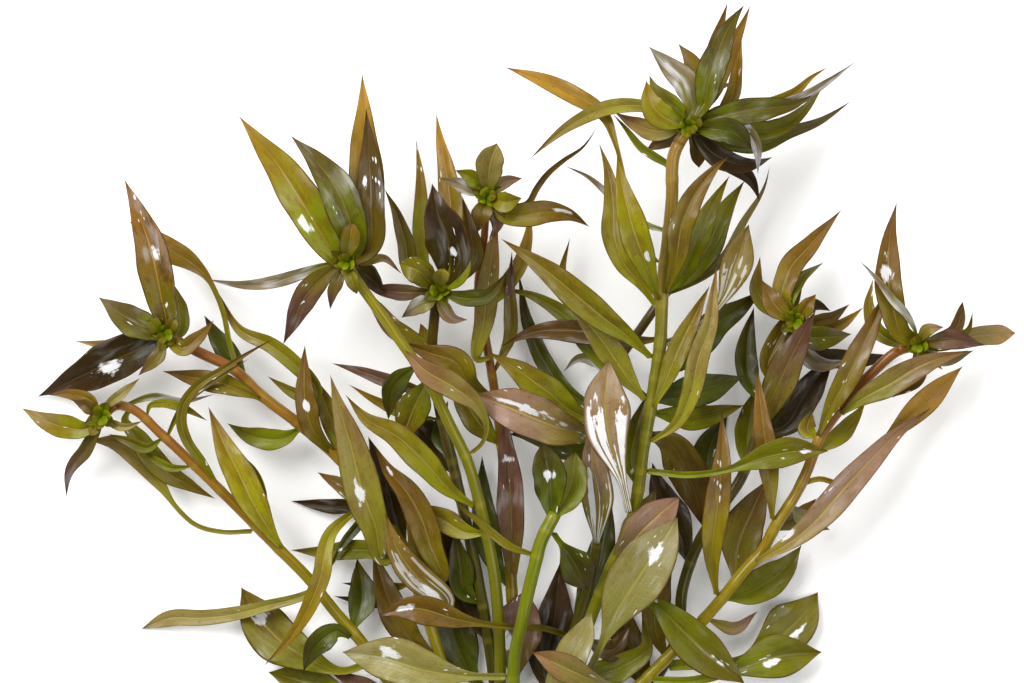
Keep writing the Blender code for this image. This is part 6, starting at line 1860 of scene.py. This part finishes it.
@dataclass
class LargeLeaves:
    """The large leaves of a stem, each a piece of its own."""

    bunch: Bunch
    owner: int

    def build(self) -> list[bpy.types.Object]:
        """Makes each leaf, in place of its CAD node.

        Returns:
            The objects.
        """
        name, shells = self.bunch.stems[self.owner].name, self.bunch.shells(self.owner, Kind.LEAF)
        return [self.bunch.stand_in(f"{name}_leaf_{number}", [shell])
                for number, shell in enumerate(shells, start=1)]


@dataclass(frozen=True)
class Lamp:
    """A square light: where it hangs, its side in metres and its power in watts."""

    name: str
    spot: tuple[float, float, float]
    size: float
    power: float


@dataclass
class Studio:
    """The table, the camera and three lamps, of which the strongest hangs at the upper left."""

    table_size: float = 1.6
    lamps: tuple[Lamp, ...] = (
        Lamp("key_light", spot=(-0.55, 0.45, 0.9), size=0.7, power=16.5),
        Lamp("fill_light", spot=(0.6, -0.2, 0.9), size=0.8, power=5.6),
        Lamp("back_light", spot=(0.25, 0.85, 0.85), size=0.6, power=5.0),
    )
    surround: float = 0.20
    glow: float = 0.10
    sensor: float = 36.0
    clip_start: float = 0.05
    clip_end: float = 5.0

    def build(self) -> None:
        """Makes the table, the lights and the camera."""
        self.table()
        for lamp in self.lamps:
            self.light(lamp)
        self.world()
        self.camera()

    def table(self) -> None:
        """A pale, slightly uneven table top under the bunch, glowing faintly as painted light that lifts the
        shadows on it.
        """
        half = 0.5 * self.table_size
        mesh = bpy.data.meshes.new("table_top")
        mesh.from_pydata([(-half, -half, 0.0), (half, -half, 0.0), (half, half, 0.0), (-half, half, 0.0)], [],
                         [(0, 1, 2, 3)])
        top = self.put("table_top", mesh)
        shop = Shop("table_white", FULLY)
        where = shop.node("ShaderNodeTexCoord", {}, {}).outputs["Object"]
        cloud = shop.node("ShaderNodeTexNoise", {}, {"Vector": where, "Scale": 9.0, "Detail": 2.0})
        share = Signal(shop, cloud.outputs[0]).rises(0.3, 0.7)
        mesh.materials.append(shop.finish_with({
            "Base Color": shop.mix(share, (0.975, 0.975, 0.97), (0.965, 0.96, 0.955)),
            "Roughness": 0.6,
            "Specular IOR Level": 0.25,
            # Painted light: the table top glows faintly, which lifts the shadows cast on it.
            "Emission Color": (1.0, 1.0, 1.0, 1.0),
            "Emission Strength": self.glow,
        }))

    def put(self, name: str, data: bpy.types.ID) -> bpy.types.Object:
        """Adds an object to the scene.

        Args:
            name: Its name.
            data: The mesh, light or camera that it shows.

        Returns:
            The object.
        """
        made = bpy.data.objects.new(name, data)
        bpy.context.scene.collection.objects.link(made)
        return made

    def light(self, lamp: Lamp) -> None:
        """Hangs a lamp, turned toward the middle of the bunch.

        Args:
            lamp: The lamp.
        """
        data = bpy.data.lights.new(lamp.name, "AREA")
        data.size, data.energy = lamp.size, lamp.power
        light = self.put(lamp.name, data)
        light.location = lamp.spot
        x, y, z = lamp.spot
        tilt, turn = np.arctan2(np.hypot(x, y), z), np.arctan2(-y, -x) - 0.5 * np.pi
        light.rotation_euler = (float(tilt), 0.0, float(turn))

    def world(self) -> None:
        """An even white surround."""
        world = bpy.data.worlds.new("surround")
        world.use_nodes = True
        background = world.node_tree.nodes["Background"]
        background.inputs["Color"].default_value = (1.0, 1.0, 1.0, 1.0)
        background.inputs["Strength"].default_value = self.surround
        bpy.context.scene.world = world

    def camera(self) -> None:
        """A camera straight above the middle of the photograph, looking down."""
        data = bpy.data.cameras.new("camera")
        data.sensor_width = self.sensor
        data.lens = self.sensor * EYE_HEIGHT / (PHOTO_WIDTH * PIXEL)
        data.clip_start, data.clip_end = self.clip_start, self.clip_end
        camera = self.put("camera", data)
        camera.location = (-MIDDLE[0] * METRE, -MIDDLE[1] * METRE, EYE_HEIGHT * METRE)
        bpy.context.scene.camera = camera
        settings = bpy.context.scene.view_settings
        settings.view_transform = "Standard"
        settings.look = "None"


def main() -> None:
    """Builds every piece in order."""
    logging.basicConfig(level=logging.INFO, format="%(message)s")
    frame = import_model()
    slots = {part["node"]: part["material_slot"] for part in frame["record"]["subparts"]}
    bunch = Bunch(STEMS, next(iter(frame["bodies"])), slots)
    for owner, stem in enumerate(STEMS):
        made = [StemPiece(bunch, owner).build()]
        if stem.shoot:
            made.append(ShootPiece(bunch, owner).build())
        made += LargeLeaves(bunch, owner).build()
        for piece in made:
            log.info("%s: %d faces", piece.name, len(piece.data.polygons))
    Studio().build()
    bpy.context.view_layer.update()


if __name__ == "__main__":
    main()
